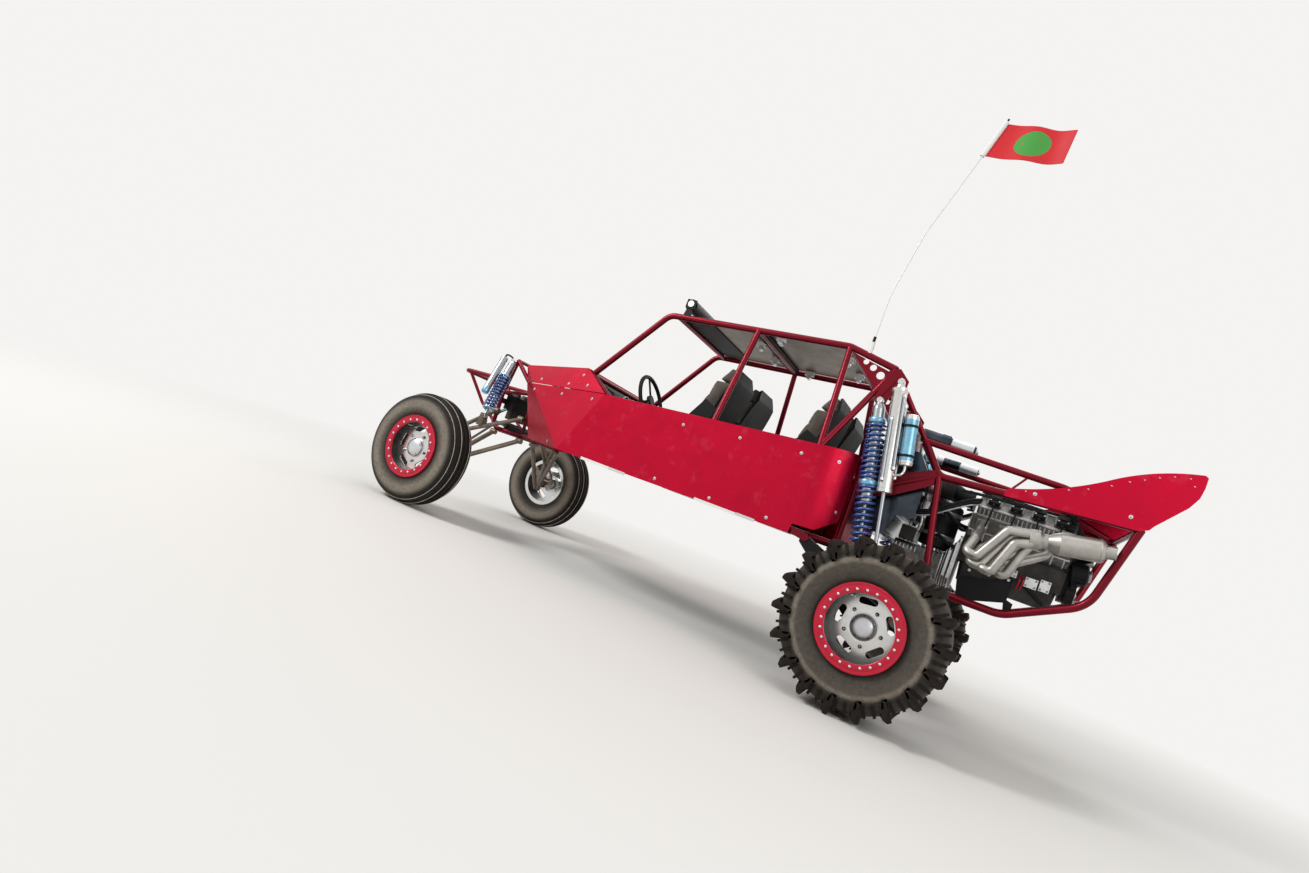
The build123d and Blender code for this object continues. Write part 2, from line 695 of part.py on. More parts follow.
with BuildPart() as trailing_arms:
    for _, side in SIDES:
        side_profile(arm_side, arm_half, arm_width, side)
        for x, z, radius in ((pivot_x, pivot_z, pivot_pin_radius + seat_gap), (1010, 545, 36)):
            with BuildSketch(Plane.XZ.offset(-side * arm_half)) as hole:
                with Locations((x, z)):
                    Circle(radius)
            extrude(hole.sketch, amount=arm_width, both=True, mode=Mode.SUBTRACT)
        clevis(coil_foot, side, 600)
        clevis(bypass_foot, side, 548)
        barrel((rear_axle_x, side * (arm_half - 50), rear_tip_radius),
               (rear_axle_x, side * (rear_hub_inner - 4), rear_tip_radius), 74)
        barrel((rear_axle_x, side * arm_half, rear_tip_radius), (rear_axle_x, side * rear_spindle_end, rear_tip_radius),
               spindle_radius)
trailing_arms.part.label = "trailing_arms"
export_step(trailing_arms.part, "parts/trailing_arms.step")

# Rear coilovers and bypass shocks, side by side and parallel
with BuildPart() as rear_coilovers:
    for _, side in SIDES:
        shock(at(coil_top, side), at(coil_foot, side), 34, 11, 0.6, (spring_radius, 0.12, 0.93, 14))
rear_coilovers.part.label = "rear_coilovers"
export_step(rear_coilovers.part, "parts/rear_coilovers.step")

with BuildPart() as bypass_shocks:
    for _, side in SIDES:
        shock(at(bypass_top, side), at(bypass_foot, side), 39, 11, 0.55)
        for fore, out in ((-16, 47), (34, 36), (40, -26)):
            high = Vector(907 + fore, side * (bypass_half + out), 1640)
            low = Vector(988 + fore, side * (bypass_half + out), 1180)
            tube([high, low], 17)
            tube([high + Vector(1, 0, -8), Vector(909, side * bypass_half, 1632)], 14)
            tube([low + Vector(-1, 0, 8), Vector(987, side * bypass_half, 1188)], 14)
        barrel((1008, side * bypass_half, 1553), (1057, side * bypass_half, 1277), 38)
        tube([(1056, side * bypass_half, 1284), (1050, side * bypass_half, 1236), (985, side * bypass_half, 1212)], 14, 24)
bypass_shocks.part.label = "bypass_shocks"
export_step(bypass_shocks.part, "parts/bypass_shocks.step")

# Shock towers: gusset plates with flared holes and the brackets of both shocks
gusset = [(560, 1838), (806, 1775), (752, 1652)]
bracket = [(770, 1622), (792, 1580), (836, 1578), (846, 1628), (878, 1676), (916, 1690), (920, 1740), (856, 1800),
           (800, 1780)]
gusset_holes = ((650, 1802, 16), (700, 1778, 19), (752, 1744, 23))

with BuildPart() as shock_towers:
    for _, side in SIDES:
        side_profile(gusset, 478, 6, side)
        with BuildSketch(Plane.XZ.offset(-side * 478)) as holes:
            for x, z, radius in gusset_holes:
                with Locations((x, z)):
                    Circle(radius)
        extrude(holes.sketch, amount=10, both=True, mode=Mode.SUBTRACT)
        side_profile(bracket, 514, 8, side)
        side_profile([(780, 1640), (800, 1615), (860, 1745), (840, 1775)], 500, 44, side)
        for x, half, z in (coil_top, bypass_top):
            barrel((x, side * 512, z), (x, side * (half - eye_half - seat_gap), z), 14)
    for _, side in SIDES:
        tubes(cage_table, side, 2 * seat_gap, Mode.SUBTRACT)
        tubes(rear_table[:1], side, 2 * seat_gap, Mode.SUBTRACT)
    for point in (c_top, tower_top, tower_low):
        cross_tube(point, stay_tube + 2 * seat_gap, Mode.SUBTRACT)
shock_towers.part.label = "shock_towers"
export_step(shock_towers.part, "parts/shock_towers.step")


def wheel_plane(axle_x, axle_z):
    """Plane with the wheel's width along its x and the radius along its y."""
    return Plane(origin=(axle_x, 0, axle_z), x_dir=(0, 1, 0), z_dir=(1, 0, 0))


def ring(points, axle_x, axle_z, mode=Mode.ADD):
    """Body turned from (half-width, radius) points about the axle."""
    with BuildSketch(wheel_plane(axle_x, axle_z)) as outline:
        with BuildLine():
            Polyline(*points, close=True)
        make_face()
    revolve(outline.sketch, axis=Axis((axle_x, 0, axle_z), (0, 1, 0)), mode=mode)


def tyre_section(side, centre, width, radius, bead, shape):
    """Tyre outline from shape rows of (share of half-width, share of wall height)."""
    rows = [(w, h) for w, h in shape] + [(-w, h) for w, h in reversed(shape)]
    return [(side * (centre + w * width / 2), bead + h * (radius - bead)) for w, h in rows]


# Columns: share of half-width, share of the wall's height above the bead
rear_tyre_shape = [(0.78, 0.0), (0.9, 0.1), (1.0, 0.42), (0.96, 0.72), (0.84, 0.93), (0.5, 1.0)]
front_tyre_shape = [(0.74, 0.0), (0.88, 0.12), (1.0, 0.45), (0.93, 0.74), (0.7, 0.92), (0.36, 0.975)]

for name, side in SIDES:
    with BuildPart() as rear_tyre:
        ring(tyre_section(side, rear_track_half, rear_tyre_width - 20, rear_carcass_radius, rear_bead_radius,
                          rear_tyre_shape), rear_axle_x, rear_tip_radius)
        planes = []
        for paddle in range(rear_paddles):
            turn = 2 * pi * (paddle + 0.25) / rear_paddles
            outward = Vector(cos(turn), 0, sin(turn))
            planes.append(Plane(origin=(rear_axle_x, side * rear_track_half, rear_tip_radius), x_dir=(0, 1, 0),
                                z_dir=Vector(0, 1, 0).cross(outward)))
        half = rear_tyre_width / 2
        tip, foot = rear_tip_radius, rear_carcass_radius - 12
        with BuildSketch(*planes) as paddles:
            with BuildLine():
                Polyline((-half + 34, tip), (half - 34, tip), (half, tip - 42), (half, tip - 100),
                         (half - 18, tip - 108), (half - 40, foot - 8), (-half + 40, foot - 8),
                         (-half + 18, tip - 108), (-half, tip - 100), (-half, tip - 42), close=True)
            make_face()
        extrude(paddles.sketch, amount=paddle_thickness / 2, both=True)
    rear_tyre.part.label = f"rear_tyre_{name}"
    export_step(rear_tyre.part, f"parts/rear_tyre_{name}.step")

    with BuildPart() as front_tyre:
        section = tyre_section(1, 0, front_tyre_width, front_radius, front_bead_radius, front_tyre_shape)
        ring([(side * (front_track_half + w), r) for w, r in section], front_axle_x, front_radius)
        for rib, reach in ((0, 1.0), (-34, 0.985), (34, 0.985)):
            low = front_radius - 12
            high = front_bead_radius + reach * (front_radius - front_bead_radius)
            ring([(side * (front_track_half + rib - 8), low - 4), (side * (front_track_half + rib + 8), low - 4),
                  (side * (front_track_half + rib + 5), high), (side * (front_track_half + rib - 5), high)],
                 front_axle_x, front_radius)
    front_tyre.part.label = f"front_tyre_{name}"
    export_step(front_tyre.part, f"parts/front_tyre_{name}.step")


def rim(side, axle_x, axle_z, track, tyre_width, bead, ring_offset, inset, hub_inner):
    """Beadlock wheel: barrel, outer ring, windowed centre and hub with a domed cap."""
    outer = bead - seat_gap
    wall = ring_inner + barrel_wall
    back = track - 0.34 * tyre_width
    lip = track + ring_offset
    face = lip - inset
    flip = lambda rows: [(side * half, radius) for half, radius in rows]
    ring(flip([(back, outer), (back + seat_width, outer), (back + seat_width, wall), (lip - seat_width, wall),
               (lip - seat_width, outer), (lip - 1, outer), (lip - 1, outer + 8), (lip + ring_thickness, outer + 6),
               (lip + ring_thickness, ring_inner - 1), (lip - 1, ring_inner - 1), (lip - 1, ring_inner),
               (back, ring_inner)]), axle_x, axle_z)
    ring(flip([(face - disc_thickness, ring_inner + 2), (face, ring_inner + 2), (face + 8, hub_radius + 22),
               (face, hub_radius - 22), (face - disc_thickness, hub_radius - 22),
               (face - disc_thickness + 8, hub_radius + 22)]), axle_x, axle_z)
    ring(flip([(hub_inner, spindle_radius + run_gap), (hub_inner, hub_radius), (face, hub_radius),
               (face + 4, cap_radius), (face + cap_height * 0.6, cap_radius - 4), (face + cap_height * 0.9, 40),
               (face + cap_height, 24), (face + cap_height, 0), (face + cap_height - 8, 0),
               (face + cap_height - 8, spindle_radius + run_gap)]),
         axle_x, axle_z)
    planes = []
    for window in range(window_count):
        turn = 2 * pi * (window + 0.35) / window_count
        outward = Vector(cos(turn), 0, sin(turn))
        planes.append(Plane(origin=Vector(axle_x, side * (face - 30), axle_z) + outward * window_circle,
                            x_dir=outward, z_dir=(0, side, 0)))
    with BuildSketch(*planes) as windows:
        RectangleRounded(window_height, window_length, window_height / 2 - 1)
    extrude(windows.sketch, amount=60, mode=Mode.SUBTRACT)


for name, side in SIDES:
    with BuildPart() as rear_rim:
        rim(side, rear_axle_x, rear_tip_radius, rear_track_half, rear_tyre_width, rear_bead_radius, rear_rim_offset,
            rear_disc_inset, rear_hub_inner)
    rear_rim.part.label = f"rear_rim_{name}"
    export_step(rear_rim.part, f"parts/rear_rim_{name}.step")

    with BuildPart() as front_rim:
        rim(side, front_axle_x, front_radius, front_track_half, front_tyre_width, front_bead_radius, front_rim_offset,
            front_disc_inset, front_hub_inner)
    front_rim.part.label = f"front_rim_{name}"
    export_step(front_rim.part, f"parts/front_rim_{name}.step")

# Transaxle with ribs, bell housing and output flanges
output_z = 812
output_half = 118

with BuildPart() as transaxle:
    with BuildSketch(Plane.YZ.offset(1066)) as case:
        with Locations((0, case_z)):
            RectangleRounded(190, 170, 40)
    extrude(case.sketch, amount=270)
    with BuildSketch(Plane.YZ.offset(1336)) as mouth:
        with Locations((0, case_z)):
            RectangleRounded(190, 170, 40)
    with BuildSketch(Plane.YZ.offset(engine_front_x - seat_gap)) as bell:
        with Locations((0, 905)):
            RectangleRounded(340, 330, 120)
    loft([mouth.sketch.faces()[0], bell.sketch.faces()[0]])
    barrel((rear_axle_x, -output_half, output_z), (rear_axle_x, output_half, output_z), 70)
    with BuildSketch(*[Plane.YZ.offset(x) for x in rib_x]) as ribs:
        with Locations((0, case_z)):
            RectangleRounded(230, rib_height, 46)
    extrude(ribs.sketch, amount=rib_thick)
transaxle.part.label = "transaxle"
export_step(transaxle.part, "parts/transaxle.step")

# Half-shafts at full droop
shaft_inner = output_half + seat_gap
shaft_outer = arm_half - 50 - seat_gap

with BuildPart() as half_shafts:
    for _, side in SIDES:
        barrel((rear_axle_x, side * shaft_inner, output_z), (rear_axle_x, side * (shaft_inner + 46), output_z), 52)
        barrel((rear_axle_x, side * (shaft_outer - 46), rear_tip_radius),
               (rear_axle_x, side * shaft_outer, rear_tip_radius), 52)
        tube([(rear_axle_x, side * (shaft_inner + 30), output_z),
              (rear_axle_x, side * (shaft_outer - 30), rear_tip_radius)], 36)
half_shafts.part.label = "half_shafts"
export_step(half_shafts.part, "parts/half_shafts.step")

# Engine: V-eight block with heads, ribbed covers, intake and pan
bank_angle = 45
bank_up = Vector(0, sin(radians(bank_angle)), cos(radians(bank_angle)))
engine_rear_x = engine_front_x + engine_length


def bank_box(side, near, far, width, start, length):
    """Block along one cylinder bank, from near to far above the crank."""
    up = Vector(0, side * bank_up.Y, bank_up.Z)
    plane = Plane(origin=Vector(start, 0, crank_z) + up * near, x_dir=(1, 0, 0), z_dir=up)
    with BuildSketch(plane) as base:
        with Locations((length / 2, 0)):
            RectangleRounded(length, width, 12)
    extrude(base.sketch, amount=far - near)


with BuildPart() as engine:
    with BuildSketch(Plane.YZ.offset(engine_front_x)) as crankcase:
        with BuildLine():
            Polyline((-140, crank_z - 80), (140, crank_z - 80), (165, crank_z + 40), (120, crank_z + 150),
                     (-120, crank_z + 150), (-165, crank_z + 40), close=True)
        make_face()
    extrude(crankcase.sketch, amount=engine_length)
    for _, side in SIDES:
        bank_box(side, 60, deck_distance, bank_width - 14, engine_front_x, engine_length)
        bank_box(side, deck_distance, deck_distance + head_height, bank_width, engine_front_x + 10, engine_length - 20)
        bank_box(side, deck_distance + head_height, deck_distance + head_height + cover_height, bank_width - 30,
                 engine_front_x + 24, engine_length - 48)
        for cylinder in range(4):
            x = engine_front_x + 60 + cylinder * bore_spacing
            bank_box(side, deck_distance + head_height, deck_distance + head_height + cover_height + 16,
                     bank_width - 84, x, bore_spacing - 40)
    with BuildSketch(Plane.XY.offset(crank_z + 140)) as valley:
        with Locations((engine_front_x + engine_length / 2, 0)):
            RectangleRounded(engine_length - 90, 190, 20)
    extrude(valley.sketch, amount=100)
    with BuildSketch(Plane.XY.offset(crank_z + 235)) as plenum:
        with Locations((engine_front_x + engine_length / 2, 0)):
            RectangleRounded(engine_length - 70, 230, 40)
    extrude(plenum.sketch, amount=75)
    with BuildSketch(Plane.XY.offset(crank_z - 80)) as pan:
        with Locations((engine_front_x + engine_length / 2, 0)):
            RectangleRounded(engine_length - 30, 250, 30)
    extrude(pan.sketch, amount=-105, taper=6)
engine.part.label = "engine"
export_step(engine.part, "parts/engine.step")

# Front-end drive at the rear of the car: pulleys and alternator
drive_x = engine_rear_x + seat_gap
pulley_table = [(0, crank_z - 10, 88), (-120, crank_z - 60, 60), (115, crank_z + 60, 52), (0, crank_z + 150, 66),
                (-118, crank_z + 86, 40)]

with BuildPart() as engine_drive:
    with BuildSketch(Plane.YZ.offset(drive_x)) as cover:
        with Locations((0, crank_z + 40)):
            RectangleRounded(270, 300, 60)
    extrude(cover.sketch, amount=26)
    for y, z, radius in pulley_table:
        barrel((drive_x + 20, y, z), (drive_x + 62, y, z), radius)
engine_drive.part.label = "engine_drive"
export_step(engine_drive.part, "parts/engine_drive.step")

# Exhausts: columns cylinder, way point, low point, knee (each x, half-width, z), end's offset across and up
primary_table = [
    (0, (1484, 400, 1045), (1462, 458, 962), (1622, 478, 1133), 21, 22),
    (1, (1520, 380, 1000), (1488, 436, 918), (1648, 430, 1118), -22, 19),
    (2, (1600, 345, 945), (1545, 462, 908), (1668, 478, 1080), 19, -23),
    (3, (1655, 335, 960), (1612, 416, 915), (1716, 426, 1048), -20, -20),
]
primary_tube = 48
collector = (1726, 450, 1129)
tip_end = (2096, 450, 1189)
port_reach = deck_distance + head_height / 2
port_half = (port_reach + bank_width / 2) * bank_up.Y
port_z = crank_z + (port_reach - bank_width / 2) * bank_up.Z
silencer = [(0, 50), (46, 50), (64, 36), (84, 36), (104, 46), (136, 58), (316, 58), (330, 48), (334, 33), (375, 33)]

with BuildPart() as exhausts:
    for _, side in SIDES:
        for cylinder, way, low, knee, across, up in primary_table:
            port_x = engine_front_x + 70 + cylinder * bore_spacing
            path = [(port_x, port_half + seat_gap, port_z - seat_gap), (port_x, port_half + 52, port_z - 52), way, low,
                    (low[0] + 60, low[1] + 8, low[2] - 6), knee,
                    (collector[0] + 20, 450 + across, collector[2] + 3 + up)]
            tube([at(point, side) for point in path], primary_tube, 27)
        turned(at(collector, side), at(tip_end, side), silencer)
exhausts.part.label = "exhausts"
export_step(exhausts.part, "parts/exhausts.step")

# Tail panels, the deck riveted between them and the radiator below it
with BuildPart() as tail_panels:
    for _, side in SIDES:
        with BuildSketch(Plane.XZ.offset(-side * (tail_half + main_tube / 2 + seat_gap))) as outline:
            with BuildLine():
                ThreePointArc((1566, 1343), (1760, 1408), (1960, 1514))
                ThreePointArc((1960, 1514), (2150, 1618), (tail_end_x - 14, 1669))
                Polyline((tail_end_x - 14, 1669), (tail_end_x, 1660), (tail_end_x, 1610), (tail_end_x - 8, 1556),
                         (2314, 1499), (2208, 1369), (2192, 1343), (2157, 1326), (1550, 1297), (1548, 1320),
                         (1566, 1343))
            make_face()
        extrude(outline.sketch, amount=side * -panel)
tail_panels.part.label = "tail_panels"
export_step(tail_panels.part, "parts/tail_panels.step")

deck_half = tail_half + main_tube / 2
with BuildPart() as tail_deck:
    with BuildSketch(Plane.XZ.offset(-deck_half)) as deck:
        with BuildLine():
            top = ThreePointArc((1965, 1476), (2130, 1566), (2322, 1590))
            low = ThreePointArc((1967, 1473), (2131, 1563), (2322, 1587))
            Line(top @ 0, low @ 0)
            Line(top @ 1, low @ 1)
        make_face()
    extrude(deck.sketch, amount=2 * deck_half)
tail_deck.part.label = "tail_deck"
export_step(tail_deck.part, "parts/tail_deck.step")

with BuildPart() as radiator:
    core_plane = Plane(origin=(1880, 0, 1402), x_dir=(1, 0, 0.25), z_dir=(-0.25, 0, 1))
    with BuildSketch(core_plane) as core:
        with Locations((200, 0)):
            RectangleRounded(400, 620, 12)
    extrude(core.sketch, amount=46)
    with BuildSketch(core_plane) as fans:
        for y in (-150, 150):
            with Locations((200, y)):
                Circle(135)
    extrude(fans.sketch, amount=-30)
    for x, z in ((1990, 1450), (2190, 1500)):
        barrel((x, -deck_half, z), (x, deck_half, z), 8)
radiator.part.label = "radiator"
export_step(radiator.part, "parts/radiator.step")

# Canisters clamped to the rear frame's upper tubes, and the fuel cell hung behind the firewall
# Columns: side, start and end of the body, end of the neck, their radii, offset inwards and up
canister_table = [(-1, -36, 124, 258, 40, 33, 50, 36), (1, 2, 150, 262, 28, 25, 34, 34)]
cell_half = 400
cell_pins = ((900, 1081), (1120, 1201))

with BuildPart() as canisters:
    for side, start, middle, end, body, neck, inwards, up in canister_table:
        rail_start, rail_bow = at(rear_table[1][0][0], side), at(rear_table[1][0][1], side)
        along = (rail_bow - rail_start).normalized()
        lift = Vector(0, -side * inwards, up)
        lift -= along * lift.dot(along)
        clamp = lift.length - (main_tube - 4) / 2 - seat_gap
        turned(rail_start + lift, rail_start + lift + along,
               [(start, body - 6), (start + 6, body), (middle - 54, body), (middle - 54, clamp), (middle - 6, clamp),
                (middle - 6, body), (middle, neck), (end - 8, neck), (end, neck - 8)])
    with BuildSketch(Plane.XZ.offset(-cell_half)) as cell:
        with BuildLine():
            FilletPolyline((866, 900), (1036, 900), (1066, 1032), (1165, 1032), (1165, 1290), (1090, 1400), (866, 1400),
                           radius=24, close=True)
        make_face()
    extrude(cell.sketch, amount=2 * cell_half)
    for x, z in cell_pins:
        pin_half = sheet_half - panel / 2 - seat_gap
        barrel((x, -pin_half, z), (x, pin_half, z), 8)
    barrel((940, 160, 1390), (940, 160, 1424), 46)
canisters.part.label = "canisters"
export_step(canisters.part, "parts/canisters.step")

# Light bar across the front of the roof
bar_centre = (-556, 1890)
bar_half = 450
bar_radius = 42

with BuildPart() as light_bar:
    barrel((bar_centre[0], -bar_half, bar_centre[1]), (bar_centre[0], bar_half, bar_centre[1]), bar_radius)
    for _, side in SIDES:
        side_profile([(-590, 1800), (-530, 1804), (-540, 1880), (-575, 1880)], bar_half + 2, 10, side)
    for _, side in SIDES:
        tubes(cage_table[1:2], side, 2 * seat_gap, Mode.SUBTRACT)
light_bar.part.label = "light_bar"
export_step(light_bar.part, "parts/light_bar.step")

# Whip and its flag
whip_points = [(651, 1842), (651, 2219), (723, 2626), (823, 2945), (948, 3358)]
flag_outer = [(1316, 3322), (1300, 3124)]
whip_low, whip_tip = Vector(823, 0, 2945), Vector(948, 0, 3358)
whip_axis = (whip_tip - whip_low).normalized()
hoist_gap = Vector(whip_axis.Z, 0, -whip_axis.X) * (sleeve_radius + seat_gap)
flag_hoist = [whip_low + whip_axis * reach + hoist_gap for reach in (187, 404)]

with BuildPart() as whip:
    tube([(x, -whip_half, z) for x, z in whip_points], whip_thick, 900)
    barrel((651, -whip_half, 1842), (651, -whip_half, 1920), 16)
    sleeve = [whip_low + whip_axis * reach - Vector(0, whip_half, 0) for reach in (180, 412)]
    barrel(*sleeve, sleeve_radius)
    tubes(cage_table[1:2], -1, 2 * seat_gap, Mode.SUBTRACT)
whip.part.label = "whip"
export_step(whip.part, "parts/whip.step")

with BuildPart() as flag:
    side_profile([(point.X, point.Z) for point in flag_hoist] + flag_outer, whip_half, flag_thick, -1)
flag.part.label = "flag"
export_step(flag.part, "parts/flag.step")
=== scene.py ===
"""Looks of a four-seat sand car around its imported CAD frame.

Everything is in metres in the frame's axes: nose towards -X, left side towards -Y, +Z up.
"""
import logging
import math
from dataclasses import dataclass
from enum import Enum
from functools import partial
from typing import Callable

import bmesh
import bpy
import numpy as np
from mathutils import Matrix, Vector


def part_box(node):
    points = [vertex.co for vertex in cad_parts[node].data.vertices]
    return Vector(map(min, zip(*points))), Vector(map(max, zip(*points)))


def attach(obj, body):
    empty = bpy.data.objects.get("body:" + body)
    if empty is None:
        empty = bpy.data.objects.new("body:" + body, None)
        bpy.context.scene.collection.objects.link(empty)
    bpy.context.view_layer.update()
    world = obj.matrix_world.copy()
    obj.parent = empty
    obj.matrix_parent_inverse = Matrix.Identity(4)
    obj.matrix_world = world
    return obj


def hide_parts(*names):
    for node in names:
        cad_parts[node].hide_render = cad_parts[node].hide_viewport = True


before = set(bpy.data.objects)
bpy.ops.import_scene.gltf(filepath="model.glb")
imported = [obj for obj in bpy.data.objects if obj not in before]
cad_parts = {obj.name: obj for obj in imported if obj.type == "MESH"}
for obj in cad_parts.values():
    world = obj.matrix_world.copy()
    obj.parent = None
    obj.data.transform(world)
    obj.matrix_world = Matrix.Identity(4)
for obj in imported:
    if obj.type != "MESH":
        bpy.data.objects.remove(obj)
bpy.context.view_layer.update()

logging.basicConfig(level=logging.INFO, format="%(message)s")
LOG = logging.getLogger("sand_car")

MM = 0.001
# Unit axes of a piece that stands square to the car
SQUARE = tuple(np.eye(3))
PHOTO_WIDTH = 1309
SIDES = (("left", -1), ("right", 1))
LINEAR_KNEE = 0.04045
# Where the rims' barrels lie, as radii in metres: the band that takes painted shade
BARREL_RADII = (0.15, 0.185)


def mm(*place: float | tuple) -> np.ndarray:
    """A place given in millimetres, or rows of them, as metres."""
    return np.array(place, float) * MM


def srgb(code: str) -> tuple[float, float, float, float]:
    """Linear RGBA of an sRGB hex colour.

    Args:
        code: six hex digits.
    Returns:
        Linear red, green, blue and an alpha of one.
    """
    parts = [int(code[i:i + 2], 16) / 255 for i in (0, 2, 4)]
    linear = [p / 12.92 if p <= LINEAR_KNEE else ((p + 0.055) / 1.055) ** 2.4 for p in parts]
    return (*linear, 1.0)


def add_node(tree: bpy.types.NodeTree, kind: str, settings: dict | None = None,
             inputs: dict | None = None) -> bpy.types.Node:
    """Adds a shader node, sets its properties and fills or links its inputs.

    Args:
        tree: the node tree.
        kind: the node's type, such as ShaderNodeTexNoise.
        settings: property names and values.
        inputs: socket names or numbers, each with a constant or an output socket to link.
    Returns:
        The new node.
    """
    node = tree.nodes.new(kind)
    for name, value in (settings or {}).items():
        setattr(node, name, value)
    for name, value in (inputs or {}).items():
        if isinstance(value, bpy.types.NodeSocket):
            tree.links.new(value, node.inputs[name])
        else:
            node.inputs[name].default_value = value
    return node


class Weather(Enum):
    """How a finish has aged, as the most dust that it carries and the noise level at which dust starts."""

    CLEAN = (0.0, 1.0)
    DUSTY = (0.35, 0.56)
    SANDED = (0.6, 0.42)


@dataclass(frozen=True)
class Finish:
    """One real finish: its colours, how it shines and how its surface was made.

    grain_mm is the size of the surface's bumps, drawn about twice as coarse as the real ones so that they show, and
    drift_mm that of its slow colour change.
    """

    name: str
    base: str
    second: str
    metallic: float = 0.0
    roughness: float = 0.5
    coat: float = 0.0
    grain_mm: float = 2.0
    bump: float = 0.05
    drift_mm: float = 60.0
    drift: float = 0.35
    weather: Weather = Weather.CLEAN
    dust: str = "9A8468"
    ior: float | None = None
    sheen: float = 0.0

    def build(self) -> bpy.types.Material:
        """Makes the Blender material, or finds the one made before.

        Returns:
            The material.
        """
        made = bpy.data.materials.get(self.name)
        if made:
            return made
        material = bpy.data.materials.new(self.name)
        material.use_nodes = True
        tree = material.node_tree
        tree.nodes.clear()
        place = add_node(tree, "ShaderNodeTexCoord").outputs["Object"]
        colour = self.colour(tree, place)
        rough = self.roughness_pattern(tree, place)
        grain = add_node(tree, "ShaderNodeTexNoise", inputs={
            "Vector": place, "Scale": 1 / (self.grain_mm * MM), "Detail": 3.0})
        bump = add_node(tree, "ShaderNodeBump", inputs={
            "Height": grain.outputs["Fac"], "Strength": self.bump, "Distance": self.grain_mm * MM * 0.5})
        shader = add_node(tree, "ShaderNodeBsdfPrincipled", inputs={
            "Base Color": colour, "Metallic": self.metallic, "Roughness": rough, "Normal": bump.outputs["Normal"],
            "Coat Weight": self.coat, "Coat Roughness": 0.06, "Sheen Weight": self.sheen})
        if self.ior:
            shader.inputs["IOR"].default_value = self.ior
        add_node(tree, "ShaderNodeOutputMaterial", inputs={"Surface": shader.outputs["BSDF"]})
        return material

    def colour(self, tree: bpy.types.NodeTree, place: bpy.types.NodeSocket) -> bpy.types.NodeSocket:
        """Two tones mixed by slow noise, with settled dust where the finish is weathered.

        Args:
            tree: the node tree.
            place: object coordinates.
        Returns:
            The colour socket.
        """
        slow = add_node(tree, "ShaderNodeTexNoise", inputs={
            "Vector": place, "Scale": 1 / (self.drift_mm * MM), "Detail": 4.0, "Roughness": 0.6})
        share = add_node(tree, "ShaderNodeMapRange", inputs={
            "Value": slow.outputs["Fac"], "From Min": 0.35, "From Max": 0.7, "To Min": 0.0, "To Max": self.drift})
        tones = add_node(tree, "ShaderNodeMix", {"data_type": "RGBA"}, {
            0: share.outputs["Result"], 6: srgb(self.base), 7: srgb(self.second)})
        out = tones.outputs[2]
        if self.weather is Weather.CLEAN:
            return out
        amount, threshold = self.weather.value
        patch = add_node(tree, "ShaderNodeTexNoise", inputs={
            "Vector": place, "Scale": 1 / 0.11, "Detail": 8.0, "Roughness": 0.72})
        cover = add_node(tree, "ShaderNodeMapRange", inputs={
            "Value": patch.outputs["Fac"], "From Min": threshold, "From Max": 0.78, "To Min": 0.0, "To Max": amount})
        dusty = add_node(tree, "ShaderNodeMix", {"data_type": "RGBA"}, {
            0: cover.outputs["Result"], 6: out, 7: srgb(self.dust)})
        return dusty.outputs[2]

    def roughness_pattern(self, tree: bpy.types.NodeTree, place: bpy.types.NodeSocket) -> bpy.types.NodeSocket:
        """Roughness that wanders by a tenth over a hand's width, as handled and dusty surfaces do.

        Args:
            tree: the node tree.
            place: object coordinates.
        Returns:
            The roughness socket.
        """
        smear = add_node(tree, "ShaderNodeTexNoise", inputs={"Vector": place, "Scale": 1 / 0.08, "Detail": 5.0})
        spread = 0.06 if self.weather is Weather.CLEAN else 0.14
        return add_node(tree, "ShaderNodeMapRange", inputs={
            "Value": smear.outputs["Fac"], "To Min": max(0.02, self.roughness - spread),
            "To Max": self.roughness + spread}).outputs["Result"]


# Candy red body: metallic base under clear coat, sprayed, which gives a deep red with a soft broad highlight
CANDY_RED = Finish("candy_red_clear_coat", "B8002C", "A00022", 0.85, 0.42, 0.06, 3.0, 0.02, 300, 0.4, Weather.DUSTY,
                   "C4566C")
# The same red on steel tube, powder-coated, made darker as painted shade, since a tube shows only a line of light
FRAME_RED = Finish("powder_coated_tube_red", "76001A", "5A0012", 0.75, 0.4, 0.08, 2.0, 0.02, 90, 0.5)
# Anodised aluminium clamp rings: a clearer red with metal under it
RING_RED = Finish("anodised_ring_red", "C00830", "9E0628", 0.45, 0.36, 0.2, 1.2, 0.02, 50, 0.4)
# Satin enamel on steel: near black, with a faint grey bloom
SATIN_BLACK = Finish("satin_black_paint", "0D0D0F", "151517", 0.0, 0.5, 0.0, 1.5, 0.04, 60, 0.6, ior=1.3)
# Injection-moulded ABS: near black, with a fine leather grain
MOULDED_BLACK = Finish("moulded_black_plastic", "0F0F10", "171718", 0.0, 0.6, 0.0, 0.8, 0.12, 40, 0.5, ior=1.3)
# Sand-cast aluminium: dull grey and pitted, its hollows darker
CAST_ALUMINIUM = Finish("sand_cast_aluminium", "8E8C89", "4C4A48", 0.8, 0.46, 0.0, 2.2, 0.25, 50, 0.9)
# Turned aluminium: bright, with fine tool marks
MACHINED_ALUMINIUM = Finish("machined_aluminium", "D9D9D7", "BDBDBB", 0.95, 0.24, 0.0, 0.9, 0.05, 40, 0.4)
# Ground steel shock bodies and rods: even grey with a clear line of light
POLISHED_STEEL = Finish("polished_shock_steel", "A4A7AB", "85898E", 1.0, 0.3, 0.0, 1.0, 0.02, 60, 0.3)
# Stainless header tube: warm satin grey, a little browned by heat
STAINLESS = Finish("satin_stainless_tube", "B4B1AB", "8F8C86", 0.85, 0.4, 0.0, 1.2, 0.05, 90, 0.7)
